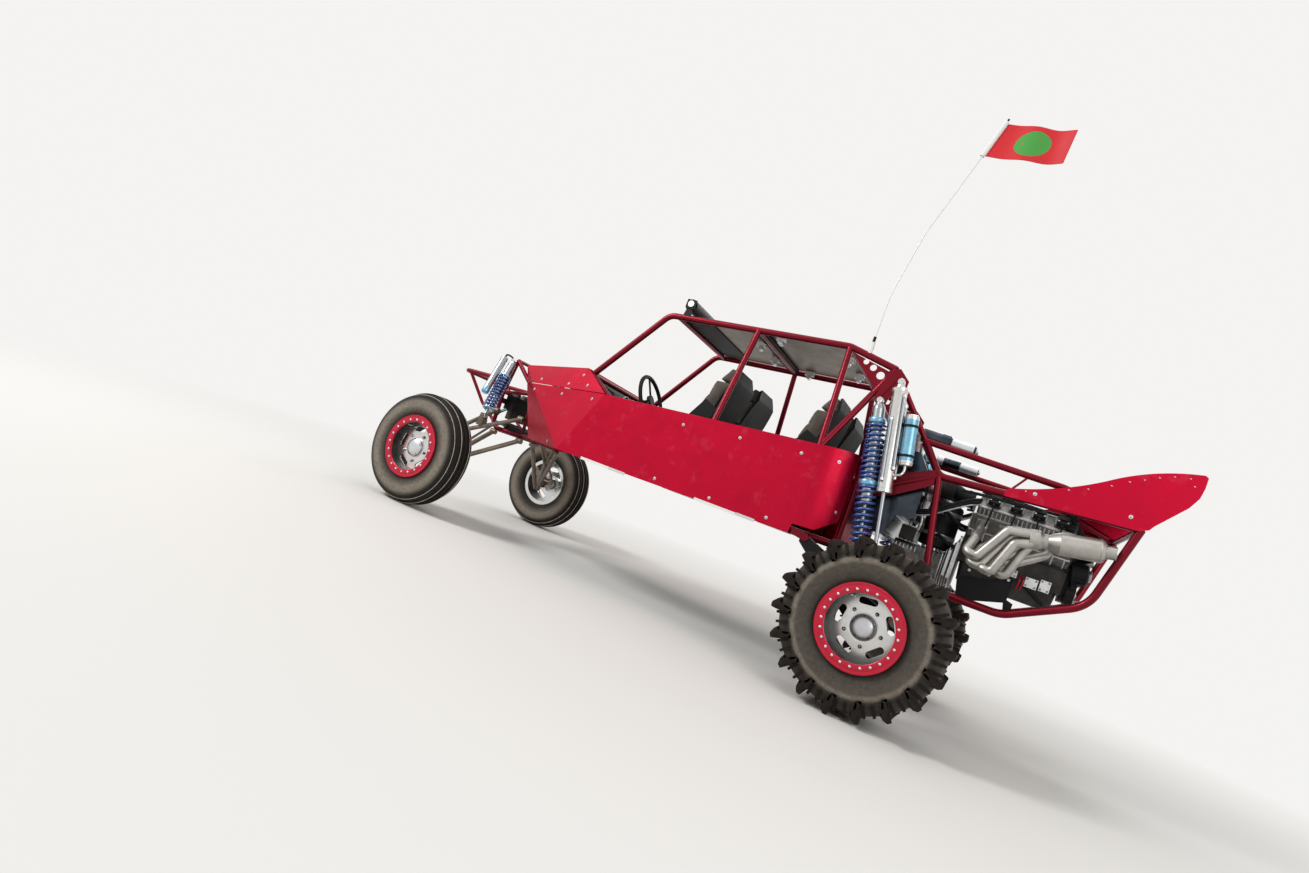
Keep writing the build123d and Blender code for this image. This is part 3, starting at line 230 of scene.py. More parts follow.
# Zinc-plated steel arms: brown-grey and uneven, the brown partly a painted reflection of sand and partly sand dust
ZINC_ARM = Finish("zinc_arm_dust_and_painted_reflection", "7C736A", "544D47", 0.6, 0.5, 0.0, 1.6, 0.1, 60, 0.7, Weather.SANDED)
# Stove-enamelled spring wire: glossy dark blue
BLUE_SPRING = Finish("blue_spring_enamel", "1D4B96", "123063", 0.15, 0.26, 0.9, 1.5, 0.02, 60, 0.5)
# Anodised aluminium reservoirs and collars: pale metallic blue
BLUE_CAN = Finish("pale_blue_anodised_can", "86BAD2", "5E9CC0", 0.6, 0.28, 0.3, 1.0, 0.02, 55, 0.8)
# Brushed aluminium sheet overhead: warm grey, the warmth a painted reflection of sand, dusty, with a blurred shine
ROOF_SHEET = Finish("brushed_roof_sheet", "9A9084", "857B70", 0.35, 0.48, 0.0, 1.5, 0.06, 160, 0.6, Weather.DUSTY)
# Glass-fibre rod and white plastic trim: clean, slightly glossy white
WHIP_WHITE = Finish("white_fibreglass", "E9E9E6", "D8D8D4", 0.0, 0.3, 0.3, 1.0, 0.02, 60, 0.3)
# Woven polyester seat covers: matt brown-grey with a soft edge of light, dust in the weave
SEAT_CLOTH = Finish("woven_seat_cloth", "5C534A", "40392F", 0.0, 0.9, 0.0, 1.6, 0.5, 90, 0.6, Weather.DUSTY,
                    sheen=0.3)
# A thin pale line round the tyre on each rib corner
PALE_RIB_LINE = Finish("pale_rib_corner_line", "CFC4B2", "A3978A", 0.0, 0.9, 0.0, 2.0, 0.1, 40, 0.8)
# Dark cast metal, dark brown-grey and blotched: on the crankcase partly an oily, dusty pan and partly painted shade
# under the headers; also the dark cases at the nose and by the oil tank
DARK_CAST = Finish("dark_casting_and_painted_shade", "2C2A28", "45423F", 0.5, 0.5, 0.0, 2.2, 0.3, 45, 0.9)
# Rim barrels: near-black painted shade inside the barrel, dark metal that keeps a dim highlight
BARREL_SHADE = Finish("rim_barrel_painted_shade", "1A1917", "2C2926", 0.3, 0.5, 0.0, 1.2, 0.04, 60, 0.6)
# Die-cast aluminium covers: pale grey with a fine skin
BRIGHT_CAST = Finish("fine_cast_aluminium", "E2E3E4", "B4B6B8", 0.8, 0.36, 0.0, 1.4, 0.1, 60, 0.6)
# Dark chrome canisters: they mirror their surroundings in blue-grey
DARK_CHROME = Finish("dark_chrome_canister", "4A5058", "2B3037", 1.0, 0.2, 0.0, 1.0, 0.02, 120, 0.8)
# Clear-anodised aluminium fittings: soft silver
SATIN_SILVER = Finish("satin_clear_anodised", "D4D6D9", "B6B9BD", 0.8, 0.34, 0.1, 1.0, 0.03, 50, 0.4)
# Oiled cotton over an air filter: dark, matt and rough
FILTER_CLOTH = Finish("oiled_filter_cloth", "1F1A18", "2C2421", 0.0, 0.85, 0.0, 2.4, 0.6, 40, 0.6, Weather.DUSTY)
# Polycarbonate lamp lenses: smooth pale grey with a sharp highlight
CLEAR_LENS = Finish("pale_lens_plastic", "DDE3E8", "C9D0D6", 0.0, 0.08, 1.0, 1.0, 0.02, 40, 0.3)

# Columns: finish, CAD nodes that keep their own shape
CAD_FINISHES = (
    (FRAME_RED, ("chassis_frame", "roll_cage", "front_frame", "rear_frame", "shock_towers")),
    (CANDY_RED, ("side_panel_left", "side_panel_right", "hood_panel", "tail_panels", "tail_deck", "rear_bulkhead")),
    (SATIN_BLACK, ("belly_pan", "rack_housing", "radiator", "light_bar", "engine_drive", "trailing_arms")),
    (DARK_CHROME, ("canisters",)),
    (MOULDED_BLACK, ("dashboard", "steering_wheel")),
    (ROOF_SHEET, ("roof_panel",)),
    (ZINC_ARM, ("front_arms", "tie_rods", "half_shafts", "knuckle_left", "knuckle_right")),
    (CAST_ALUMINIUM, ("engine", "transaxle")),
    (STAINLESS, ("exhausts",)),
    (MACHINED_ALUMINIUM, ("front_rim_left", "front_rim_right", "rear_rim_left", "rear_rim_right")),
    (WHIP_WHITE, ("whip",)),
)


def dress_cad_nodes() -> None:
    """Gives every CAD node that keeps its shape its finish."""
    for finish, names in CAD_FINISHES:
        for name in names:
            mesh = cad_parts[name].data
            mesh.materials.clear()
            mesh.materials.append(finish.build())
            LOG.info("finish %s on %s", finish.name, name)


def repaint(node: str, finish: Finish, chosen: Callable[[np.ndarray, np.ndarray], np.ndarray]) -> None:
    """Gives some faces of a CAD node another finish.

    Args:
        node: the CAD node.
        finish: the finish of the chosen faces.
        chosen: takes the faces' middles and normals, n by 3 each, and says which faces change.
    """
    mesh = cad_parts[node].data
    count = len(mesh.polygons)
    middles, normals = np.empty(count * 3), np.empty(count * 3)
    mesh.polygons.foreach_get("center", middles)
    mesh.polygons.foreach_get("normal", normals)
    mask = chosen(middles.reshape(-1, 3), normals.reshape(-1, 3))
    mesh.materials.append(finish.build())
    index = np.zeros(count, np.int32)
    mesh.polygons.foreach_get("material_index", index)
    index[mask] = len(mesh.materials) - 1
    mesh.polygons.foreach_set("material_index", index)


def repaint_cad_nodes() -> None:
    """Black engine plate on the red rear frame, and painted shade: a darker crankcase under the headers (partly a dark
    pan), a black deck underside and dark rim barrels.
    """
    repaint("rear_frame", SATIN_BLACK, lambda p, n: (np.abs(np.abs(p[:, 1]) - 0.134) < 0.008)
            & (p[:, 0] > 1.43) & (p[:, 0] < 1.78) & (p[:, 2] > 0.69) & (p[:, 2] < 0.93))
    # Painted shade: the crankcase under the heads takes the dark casting, partly a dark pan and partly the shade under
    # the headers
    repaint("engine", DARK_CAST, lambda p, n: (p[:, 2] < 1.06) & (np.abs(p[:, 1]) < 0.172))
    # Painted shade: the tail deck's downward faces turn black for the shadow under the tail panels
    repaint("tail_deck", SATIN_BLACK, lambda p, n: n[:, 2] < -0.3)
    low, high = BARREL_RADII
    for axle in (REAR_AXLE, FRONT_AXLE):
        x, z = axle.centre()
        for name, _ in SIDES:
            # Painted shade: faces inside the barrel band turn dark
            repaint(f"{axle.name}_rim_{name}", BARREL_SHADE, lambda p, n: (np.abs(n[:, 1]) < 0.5)
                    & (np.hypot(p[:, 0] - x, p[:, 2] - z) > low) & (np.hypot(p[:, 0] - x, p[:, 2] - z) < high))


class Shell:
    """Gathers surfaces worked out as grids of points into one mesh object."""

    def __init__(self, name: str) -> None:
        """Starts an empty shell.

        Args:
            name: the piece's name.
        """
        self.name = name
        self.points: list[np.ndarray] = []
        self.faces: list[list[int]] = []
        self.marks: list[int] = []
        self.finishes: list[Finish] = []
        self.count = 0

    def _mark(self, finish: Finish) -> int:
        """Finds a finish's material number in this shell.

        Args:
            finish: the finish.
        Returns:
            Its number.
        """
        if finish not in self.finishes:
            self.finishes.append(finish)
        return self.finishes.index(finish)

    def add(self, points: np.ndarray, faces: np.ndarray, finish: Finish) -> None:
        """Adds loose points and their faces.

        Args:
            points: n by 3 places.
            faces: m by k point numbers.
            finish: the faces' finish.
        """
        self.points.append(np.asarray(points, float).reshape(-1, 3))
        self.faces += (np.asarray(faces) + self.count).tolist()
        self.marks += [self._mark(finish)] * len(faces)
        self.count += len(self.points[-1])

    def grid(self, points: np.ndarray, finish: Finish, wrap_u: bool = False, wrap_v: bool = False) -> None:
        """Adds a grid as quads: each point joins its next along both parameters, and a wrapped one joins the first.

        Args:
            points: u by v by 3 places, or a stack of such grids.
            finish: its finish.
            wrap_u: whether the first parameter closes on itself.
            wrap_v: whether the second one does.
        """
        points = np.asarray(points, float)
        if points.ndim == 4:
            for one in points:
                self.grid(one, finish, wrap_u, wrap_v)
            return
        rows, cols = points.shape[:2]
        number = np.arange(rows * cols).reshape(rows, cols)
        if wrap_u:
            number = np.vstack([number, number[:1]])
        if wrap_v:
            number = np.hstack([number, number[:, :1]])
        quads = np.stack([number[:-1, :-1], number[1:, :-1], number[1:, 1:], number[:-1, 1:]], -1).reshape(-1, 4)
        self.add(points, quads, finish)

    def lid(self, loop: np.ndarray, finish: Finish) -> None:
        """Closes a loop of points with one flat face."""
        self.add(loop, np.arange(len(loop)).reshape(1, -1), finish)

    def lathe(self, profile: np.ndarray, origin: tuple, axis: tuple, finish: Finish, steps: int = 64) -> None:
        """Turns (along, radius) rows about an axis: origin + axis * along + radius * (cos t, sin t) across it.

        Args:
            profile: n by 2 rows.
            origin: a point on the axis.
            axis: its direction.
            finish: its finish.
            steps: facets round the turn.
        """
        profile = np.asarray(profile, float)
        along, across, third = axes_of(axis)
        turn = np.linspace(0, 2 * math.pi, steps, endpoint=False)
        ring = np.cos(turn)[:, None] * across + np.sin(turn)[:, None] * third
        points = (np.asarray(origin, float) + profile[None, :, :1] * along
                  + profile[None, :, 1:] * ring[:, None, :])
        self.grid(points, finish, wrap_u=True)

    def pipe(self, path: np.ndarray, radius: float | np.ndarray, finish: Finish, sides: int = 12,
             closed: bool = False) -> None:
        """Carries a circle along a path, its frame turned from a fixed reference across the path.

        Args:
            path: n by 3 places.
            radius: one radius, or one per place.
            finish: its finish.
            sides: facets round the pipe.
            closed: whether the path is a loop.
        """
        path = np.asarray(path, float)
        if closed:
            tangent = np.roll(path, -1, 0) - np.roll(path, 1, 0)
        else:
            tangent = np.gradient(path, axis=0)
        tangent /= np.linalg.norm(tangent, axis=1)[:, None]
        reference = np.eye(3)[np.argmin(np.abs(tangent).max(0))]
        across = np.cross(tangent, reference)
        across /= np.linalg.norm(across, axis=1)[:, None]
        third = np.cross(tangent, across)
        turn = np.linspace(0, 2 * math.pi, sides, endpoint=False)
        radius = np.broadcast_to(radius, len(path))[:, None, None]
        points = path[:, None] + radius * (np.cos(turn)[None, :, None] * across[:, None]
                                           + np.sin(turn)[None, :, None] * third[:, None])
        self.grid(points, finish, wrap_u=closed, wrap_v=True)
        if not closed:
            self.lid(points[0], finish)
            self.lid(points[-1], finish)

    def studs(self, places: np.ndarray, normals: np.ndarray, radius: float, height: float, finish: Finish,
              steps: int = 10) -> None:
        """Domed fastener heads: at each place a small turned dome stands along the normal.

        Args:
            places: n by 3 places.
            normals: n by 3 directions.
            radius: the head's radius.
            height: the head's height.
            finish: its finish.
            steps: facets round the head.
        """
        dome = np.array([(-0.4 * height, radius), (0.35 * height, radius), (0.8 * height, 0.72 * radius),
                         (height, 0.3 * radius), (height, 0.0005 * radius)])
        for place, normal in zip(np.atleast_2d(places), np.atleast_2d(normals)):
            self.lathe(dome, place, normal, finish, steps)

    def plate(self, outline: np.ndarray, thickness: np.ndarray, finish: Finish) -> None:
        """A flat outline given a thickness: the loop, its shifted copy and the wall between them.

        Args:
            outline: n by 3 places round the plate.
            thickness: the shift from one face to the other.
            finish: its finish.
        """
        outline = np.asarray(outline, float)
        other = outline + np.asarray(thickness, float)
        self.grid(np.stack([outline, other]), finish, wrap_v=True)
        self.lid(outline[::-1], finish)
        self.lid(other, finish)

    def build(self, body: str, slot: str, smooth: float = 40.0, bevel: float = 0.0, levels: int = 0
              ) -> bpy.types.Object:
        """Makes the object, turns its faces outwards and lets it ride on a body.

        Args:
            body: the CAD body it rides on.
            slot: the record's material slot; not used.
            smooth: angle in degrees under which edges shade smooth.
            bevel: width of a bevel on sharp edges, in metres.
            levels: levels of subdivision.
        Returns:
            The finished object.
        """
        mesh = bpy.data.meshes.new(self.name)
        mesh.from_pydata(np.vstack(self.points).tolist(), [], self.faces)
        for finish in self.finishes:
            mesh.materials.append(finish.build())
        mesh.polygons.foreach_set("material_index", np.array(self.marks, np.int32))
        work = bmesh.new()
        work.from_mesh(mesh)
        bmesh.ops.remove_doubles(work, verts=work.verts, dist=1e-5)
        bmesh.ops.recalc_face_normals(work, faces=work.faces)
        for edge in work.edges:
            if len(edge.link_faces) == 2:
                edge.smooth = edge.calc_face_angle(0.0) < math.radians(smooth)
        for face in work.faces:
            face.smooth = True
        work.to_mesh(mesh)
        work.free()
        item = bpy.data.objects.new(self.name, mesh)
        bpy.context.scene.collection.objects.link(item)
        if bevel:
            item.modifiers.new("bevel", "BEVEL").width = bevel
            item.modifiers["bevel"].segments = 2
        if levels:
            subdivision = item.modifiers.new("subdivision", "SUBSURF")
            subdivision.levels = subdivision.render_levels = levels
        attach(item, body)
        LOG.info("piece %s, %d faces, on %s", self.name, len(mesh.polygons), body)
        return item


def axes_of(axis: tuple) -> tuple[np.ndarray, np.ndarray, np.ndarray]:
    """A direction's own frame.

    Args:
        axis: the direction, of any length.
    Returns:
        A unit direction and two unit directions across it.
    """
    along = np.asarray(axis, float)
    along = along / np.linalg.norm(along)
    across = np.cross(along, np.eye(3)[np.argmin(np.abs(along))])
    across /= np.linalg.norm(across)
    return along, across, np.cross(along, across)


def flow(points: list | np.ndarray, steps: int = 8) -> np.ndarray:
    """A smooth path through points: each span is a cubic whose end slopes are half the chord of its neighbours.

    Args:
        points: places it passes through.
        steps: points on each span.
    Returns:
        n by 3 places.
    """
    points = np.asarray(points, float)
    slope = np.gradient(points, axis=0)
    t = np.linspace(0, 1, steps, endpoint=False)[None, :, None]
    a, b, m, n = points[:-1, None], points[1:, None], slope[:-1, None], slope[1:, None]
    spans = ((2 * t ** 3 - 3 * t ** 2 + 1) * a + (t ** 3 - 2 * t ** 2 + t) * m
             + (3 * t ** 2 - 2 * t ** 3) * b + (t ** 3 - t ** 2) * n)
    return np.vstack([spans.reshape(-1, points.shape[1]), points[-1:]])


def at(point: tuple, side: int) -> np.ndarray:
    """A left-side place in millimetres, its half-width positive, as metres on one side of the car."""
    x, half, z = point
    return mm(x, side * half, z)


# The tyres' own attribute: how much dust lies on each point
SETTLED = "settled"


@dataclass(frozen=True)
class Rubber(Finish):
    """Moulded rubber whose dust lies where the piece's own attribute says, broken up by fine noise."""

    def colour(self, tree: bpy.types.NodeTree, place: bpy.types.NodeSocket) -> bpy.types.NodeSocket:
        """Two rubber tones under dust that follows the settled attribute.

        Args:
            tree: the node tree.
            place: object coordinates.
        Returns:
            The colour socket.
        """
        clean = super().colour(tree, place)
        lying = add_node(tree, "ShaderNodeAttribute", {"attribute_name": SETTLED}).outputs["Fac"]
        broken = add_node(tree, "ShaderNodeTexNoise", inputs={
            "Vector": place, "Scale": 1 / 0.02, "Detail": 8.0, "Roughness": 0.7})
        spread = add_node(tree, "ShaderNodeMapRange", inputs={
            "Value": broken.outputs["Fac"], "From Min": 0.3, "From Max": 0.7, "To Min": 0.55, "To Max": 1.1})
        share = add_node(tree, "ShaderNodeMath", {"operation": "MULTIPLY", "use_clamp": True}, {
            0: lying, 1: spread.outputs["Result"]})
        mixed = add_node(tree, "ShaderNodeMix", {"data_type": "RGBA"}, {0: share.outputs["Value"], 6: clean})
        mixed.inputs[7].default_value = srgb(self.dust)
        return mixed.outputs[2]


# Moulded tyre rubber: matt black-brown, its settled dust brown on the tread and grey on the sidewall
TREAD = Rubber("moulded_tread_rubber", "141110", "201B18", 0.0, 0.85, 0.0, 2.5, 0.2, 40, 0.8, Weather.CLEAN, "3A2F27",
               1.28)
WALL = Rubber("moulded_sidewall_rubber", "1B1917", "2A2725", 0.0, 0.78, 0.0, 1.6, 0.1, 90, 0.8, Weather.CLEAN, "8A8175",
              1.28)


def settle(item: bpy.types.Object, centre: tuple[float, float], rows: list) -> None:
    """Writes the settled attribute: dust by distance from the axle, read off (radius, amount) rows.

    Args:
        item: the tyre.
        centre: the axle's x and z in metres.
        rows: radius in millimetres and amount.
    """
    co = np.empty(len(item.data.vertices) * 3, np.float32)
    item.data.vertices.foreach_get("co", co)
    co = co.reshape(-1, 3)
    radius = np.hypot(co[:, 0] - centre[0], co[:, 2] - centre[1]) / MM
    table = np.array(rows, float)
    values = np.interp(radius, table[:, 0], table[:, 1]).astype(np.float32)
    item.data.attributes.new(SETTLED, "FLOAT", "POINT").data.foreach_set("value", values)


@dataclass
class Axle:
    """Place and sizes of one axle's wheels, in millimetres."""

    name: str
    x: float
    z: float
    track_half: float
    ring_face: float
    disc_face: float
    bolts: int
    ring_inner: float = 166.0
    ring_outer: float = 213.0
    lug_circle: float = 92.0
    cap_radius: float = 64.0

    def centre(self) -> tuple[float, float]:
        """The axle's x and z in metres."""
        return self.x * MM, self.z * MM

    def origin(self) -> tuple[float, float, float]:
        """The point of the axle's line on the car's centre plane."""
        return self.x * MM, 0.0, self.z * MM

    def around(self, radius: float, along: float, side: int, count: int, start: float) -> np.ndarray:
        """Places evenly spaced on a circle about the axle.

        Args:
            radius: the circle's radius.
            along: distance from the centre plane.
            side: which side of the car.
            count: how many.
            start: turn of the first, in radians.
        Returns:
            count by 3 places.
        """
        turn = start + np.arange(count) * 2 * math.pi / count
        return np.stack([self.x + radius * np.cos(turn), np.full(count, side * along),
                         self.z + radius * np.sin(turn)], -1) * MM

    def ring(self, name: str, side: int) -> bpy.types.Object:
        """Red clamp ring, stepped and grooved in section, with its bolts.

        Args:
            name: left or right.
            side: which side of the car.
        Returns:
            The ring.
        """
        shell = Shell(f"{self.name}_clamp_ring_{name}")
        face = self.ring_face
        section = np.array([(face - 13, self.ring_outer), (face - 3, self.ring_outer), (face, self.ring_outer - 3),
                            (face, self.ring_outer - 14), (face - 0.5, self.ring_outer - 15),
                            (face - 0.5, self.ring_outer - 18), (face + 0.6, self.ring_outer - 20),
                            (face + 0.6, self.ring_inner + 1), (face - 1, self.ring_inner - 1.4),
                            (face - 13, self.ring_inner - 1.4)]) * MM
        shell.lathe(section * (side, 1), self.origin(), (0, 1, 0), RING_RED, 96)
        places = self.around((self.ring_inner + self.ring_outer - 20) / 2, face, side, self.bolts, 0.1)
        shell.studs(places, np.tile((0, side, 0), (self.bolts, 1)), 7.4 * MM, 7 * MM, SATIN_SILVER, 8)
        return shell.build(f"{self.name}_wheel_{name}", "body_paint")

    def centre_parts(self, name: str, side: int) -> bpy.types.Object:
        """Lug nuts on the disc, screws round the domed cap, and a valve by the ring.

        Args:
            name: left or right.
            side: which side of the car.
        Returns:
            The fasteners.
        """
        shell = Shell(f"{self.name}_lug_nuts_{name}")
        nuts = self.around(self.lug_circle, self.disc_face + 6, side, 5, 1.1)
        shell.studs(nuts, np.tile((0, side, 0), (5, 1)), 11 * MM, 17 * MM, POLISHED_STEEL, 6)
        dome = np.array([(-2, 66.5), (8, 66), (17, 62), (25, 54), (31, 43), (35, 28), (36.6, 14), (37, 0.01)])
        shell.lathe((dome + (self.disc_face, 0)) * (side, 1) * MM, self.origin(), (0, 1, 0), SATIN_SILVER, 64)
        screws = self.around(self.cap_radius - 9, self.disc_face + 24.6, side, 5, 0.5)
        shell.studs(screws, np.tile((0, side, 0), (5, 1)), 3.6 * MM, 4 * MM, SATIN_BLACK, 8)
        valve = self.around(self.ring_inner - 8, self.disc_face + 14, side, 1, 2.2)[0]
        shell.pipe(np.array([valve, valve + (0, side * 34 * MM, 0)]), 4 * MM, MACHINED_ALUMINIUM, 8)
        return shell.build(f"{self.name}_wheel_{name}", "bare_metal")


@dataclass
class PaddleTyre:
    """Rear tyre: plain carcass with deep scooped paddles across it, in millimetres."""

    axle: Axle
    paddles: int = 18
    tip: float = 429.5
    steps: int = 120
    wall: tuple = ((126, 205.2), (136, 214), (147, 226), (156, 250), (162, 280), (165, 306), (163.5, 320), (158, 330),
                   (154, 336), (152, 350), (146, 370), (130, 388), (92, 399), (46, 402), (0, 403))

    def section(self) -> np.ndarray:
        """Half-width and radius rows from one bead over the crown to the other."""
        near = flow(list(self.wall), 3)
        return np.vstack([near, (near * (-1, 1))[::-1][1:]])

    def paddle_rows(self) -> np.ndarray:
        """One paddle's rows across the tyre, each eased from the middle to the shoulder by powers of its place.

        Returns:
            Columns: place across, foot radius, tip radius, forward lead, half thickness at the foot and at the tip.
        """
        across = np.linspace(-1, 1, 29)
        size = np.abs(across)
        ease = np.clip((size - 0.72) / 0.28, 0, 1)
        half = 175.0 * np.sin(np.clip(size, 0, 0.82) / 0.82 * math.pi / 2) ** 0.9 * np.sign(across)
        foot = 396 - 66 * ease ** 1.2 - 6 * size
        top = self.tip - 3 * size ** 4 - 78 * ease ** 1.5
        lead = 34 * size ** 1.6 - 10
        return np.stack([half, foot, top, lead, 19 - 6 * ease, 8.5 - 2.5 * ease], -1)

    def build(self, name: str, side: int) -> None:
        """Builds one tyre: carcass turned about the axle, paddle points at (r cos a, r sin a), a = turn + lead / r.

        Args:
            name: left or right.
            side: which side of the car.
        """
        shell = Shell(f"rear_paddle_tyre_{name}")
        axle = self.axle
        section = (self.section() + (axle.track_half, 0)) * (side, 1) * MM
        shell.lathe(section, axle.origin(), (0, 1, 0), WALL, self.steps)
        half, foot, top, lead, thick_foot, thick_tip = self.paddle_rows().T
        middle = foot + 0.6 * (top - foot)
        edge_half = half * np.where(np.abs(half) > 150, 0.97, 0.985)
        # The loop round one paddle: foot, belly and tip ahead, then the same behind, scooped forwards at the tip
        radius = np.stack([foot, middle, top, top, middle, foot], 1)
        shift = np.stack([lead + thick_foot, lead + 0.45 * thick_foot + 3, lead + thick_tip + 9,
                          lead - thick_tip + 9, lead - 0.8 * thick_foot + 3, lead - thick_foot], 1)
        width = np.stack([half, half, edge_half, edge_half, half, half], 1)
        step = 2 * math.pi / self.paddles
        turn = (np.arange(self.paddles) + 0.25) * step
        angle = turn[:, None, None] + shift / radius
        points = np.stack([axle.x + radius * np.cos(angle),
                           np.broadcast_to(side * (axle.track_half + width), angle.shape),
                           axle.z + radius * np.sin(angle)], -1) * MM
        shell.grid(points, TREAD, wrap_v=True)
        for one in points:
            shell.lid(one[0], TREAD)
            shell.lid(one[-1], TREAD)
        # Two ribs on each shoulder between one paddle and the next
        for number in range(self.paddles * 3):
            if number % 3 == 0:
                continue
            spoke = (number / 3 + 0.25) * step
            out = np.array([math.cos(spoke), 0, math.sin(spoke)])
            across = np.cross(out, (0, 1.0, 0))
            for face in (-1, 1):
                place = np.array([axle.x, side * axle.track_half + face * 146, axle.z]) + out * 372
                lean = np.array([0, face * 0.42, 0]) - out * 0.9
                block(shell, place * MM, (across, lean / np.linalg.norm(lean),
                                          np.cross(across, lean / np.linalg.norm(lean))), (13, 62, 16), TREAD)
        tyre = shell.build(f"rear_wheel_{name}", "tyre", 35)
        settle(tyre, axle.centre(), [(205, 0.04), (235, 0.22), (270, 0.3), (300, 0.34), (313, 0.85), (325, 0.8),
                                     (336, 0.16), (350, 0.08), (395, 0.3), (404, 0.4), (412, 0.2), (432, 0.45)])
        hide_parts(f"rear_tyre_{name}")


@dataclass
class RibTyre:
    """Front tyre: round carcass with three steering ribs, in millimetres."""

    axle: Axle
    steps: int = 120
    wall: tuple = ((83, 198.2), (92, 206), (101, 222), (108, 246), (112, 275), (111.5, 305), (106, 330), (96, 348),
                   (82, 360), (64, 367.5), (46, 371), (42.5, 371.5), (41.5, 379), (29, 379.5), (28, 372), (9, 373),
                   (8, 380.7), (0, 380.8))

    def build(self, name: str, side: int) -> None:
        """Builds one tyre: smooth wall, then square ribs, mirrored and turned about the axle, with four pale lines on
        the rib corners.

        Args:
            name: left or right.
            side: which side of the car.
        """
        shell = Shell(f"front_rib_tyre_{name}")
        wall = np.vstack([flow(list(self.wall[:10]), 4), np.array(self.wall[10:])])
        section = np.vstack([wall, (wall * (-1, 1))[::-1][1:]]) + (self.axle.track_half, 0)
        shell.lathe(section * (side, 1) * MM, self.axle.origin(), (0, 1, 0), WALL, self.steps)
        for half, radius in ((86, 357.4), (42.2, 378.9), (-42.2, 378.9), (-86, 357.4)):
            line = np.array([(half - 1.6, radius - 1), (half - 1.6, radius + 1), (half, radius + 1.9),
                             (half + 1.6, radius + 1), (half + 1.6, radius - 1)]) + (self.axle.track_half, 0)
            shell.lathe(line * (side, 1) * MM, self.axle.origin(), (0, 1, 0), PALE_RIB_LINE, self.steps)
        tyre = shell.build(f"front_wheel_{name}", "tyre", 35)
        settle(tyre, self.axle.centre(), [(198, 0.05), (228, 0.1), (258, 0.55), (280, 1.0), (310, 0.9), (328, 0.25),
                                          (340, 0.0), (381, 0.0)])
        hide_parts(f"front_tyre_{name}")


# Each ring and disc face is measured from the rim's outer edge
REAR_AXLE = Axle("rear", x=1170, z=430, track_half=859, ring_face=859 + 158 + 12.8, disc_face=859 + 158 - 130,
                 bolts=24)
FRONT_AXLE = Axle("front", x=-1935, z=381, track_half=813, ring_face=813 + 99 + 12.8, disc_face=813 + 99 - 52,
                  bolts=20)


def build_wheels() -> None:
    """Tyres, clamp rings and fasteners of the four wheels."""
    for name, side in SIDES:
        PaddleTyre(REAR_AXLE).build(name, side)
        RibTyre(FRONT_AXLE).build(name, side)
        for axle in (REAR_AXLE, FRONT_AXLE):
            axle.ring(name, side)
            axle.centre_parts(name, side)


def between(start: np.ndarray, end: np.ndarray, shares: np.ndarray) -> np.ndarray:
    """Places at shares of the way from one point to another."""
    return start + np.asarray(shares, float)[:, None] * (end - start)


@dataclass
class Coil:
    """A wound spring: the wire's centre turns about the axis while it climbs, its end turns closed up."""

    start: np.ndarray
    end: np.ndarray
    radius: float
    wire: float
    turns: float
    per_turn: int = 20

    def path(self) -> np.ndarray:
        """The wire's centre line: start + climb * axis + radius * (cos t, sin t) across it.

        Returns:
            n by 3 places.
        """
        along, across, third = axes_of(self.end - self.start)
        length = np.linalg.norm(self.end - self.start) - 2 * self.wire
        t = np.linspace(0, 1, int(self.turns * self.per_turn))
        closing = 0.5 / self.turns
        climb = np.clip((t - closing) / (1 - 2 * closing), 0, 1) * (length - 2 * self.wire) + self.wire * (
            1 + np.clip(t / closing, 0, 1) * 0.5 + np.clip((t - 1 + closing) / closing, 0, 1) * 0.5)
        angle = 2 * math.pi * self.turns * t
        return (self.start + climb[:, None] * along
                + self.radius * (np.cos(angle)[:, None] * across + np.sin(angle)[:, None] * third))

    def wind(self, shell: Shell, finish: Finish) -> None:
        """Adds the wire to a shell: a circle carried along the path on the coil's own radial frame.

        Args:
            shell: the shell that takes it.
            finish: its finish.
        """
        along, _, _ = axes_of(self.end - self.start)
        path = self.path()
        axis_foot = self.start + ((path - self.start) @ along)[:, None] * along
        outward = (path - axis_foot) / self.radius
        turn = np.linspace(0, 2 * math.pi, 8, endpoint=False)
        points = path[:, None] + self.wire * (np.cos(turn)[None, :, None] * outward[:, None]
                                              + np.sin(turn)[None, :, None] * along)
        shell.grid(points, finish, wrap_v=True)
        shell.lid(points[0], finish)
        shell.lid(points[-1], finish)


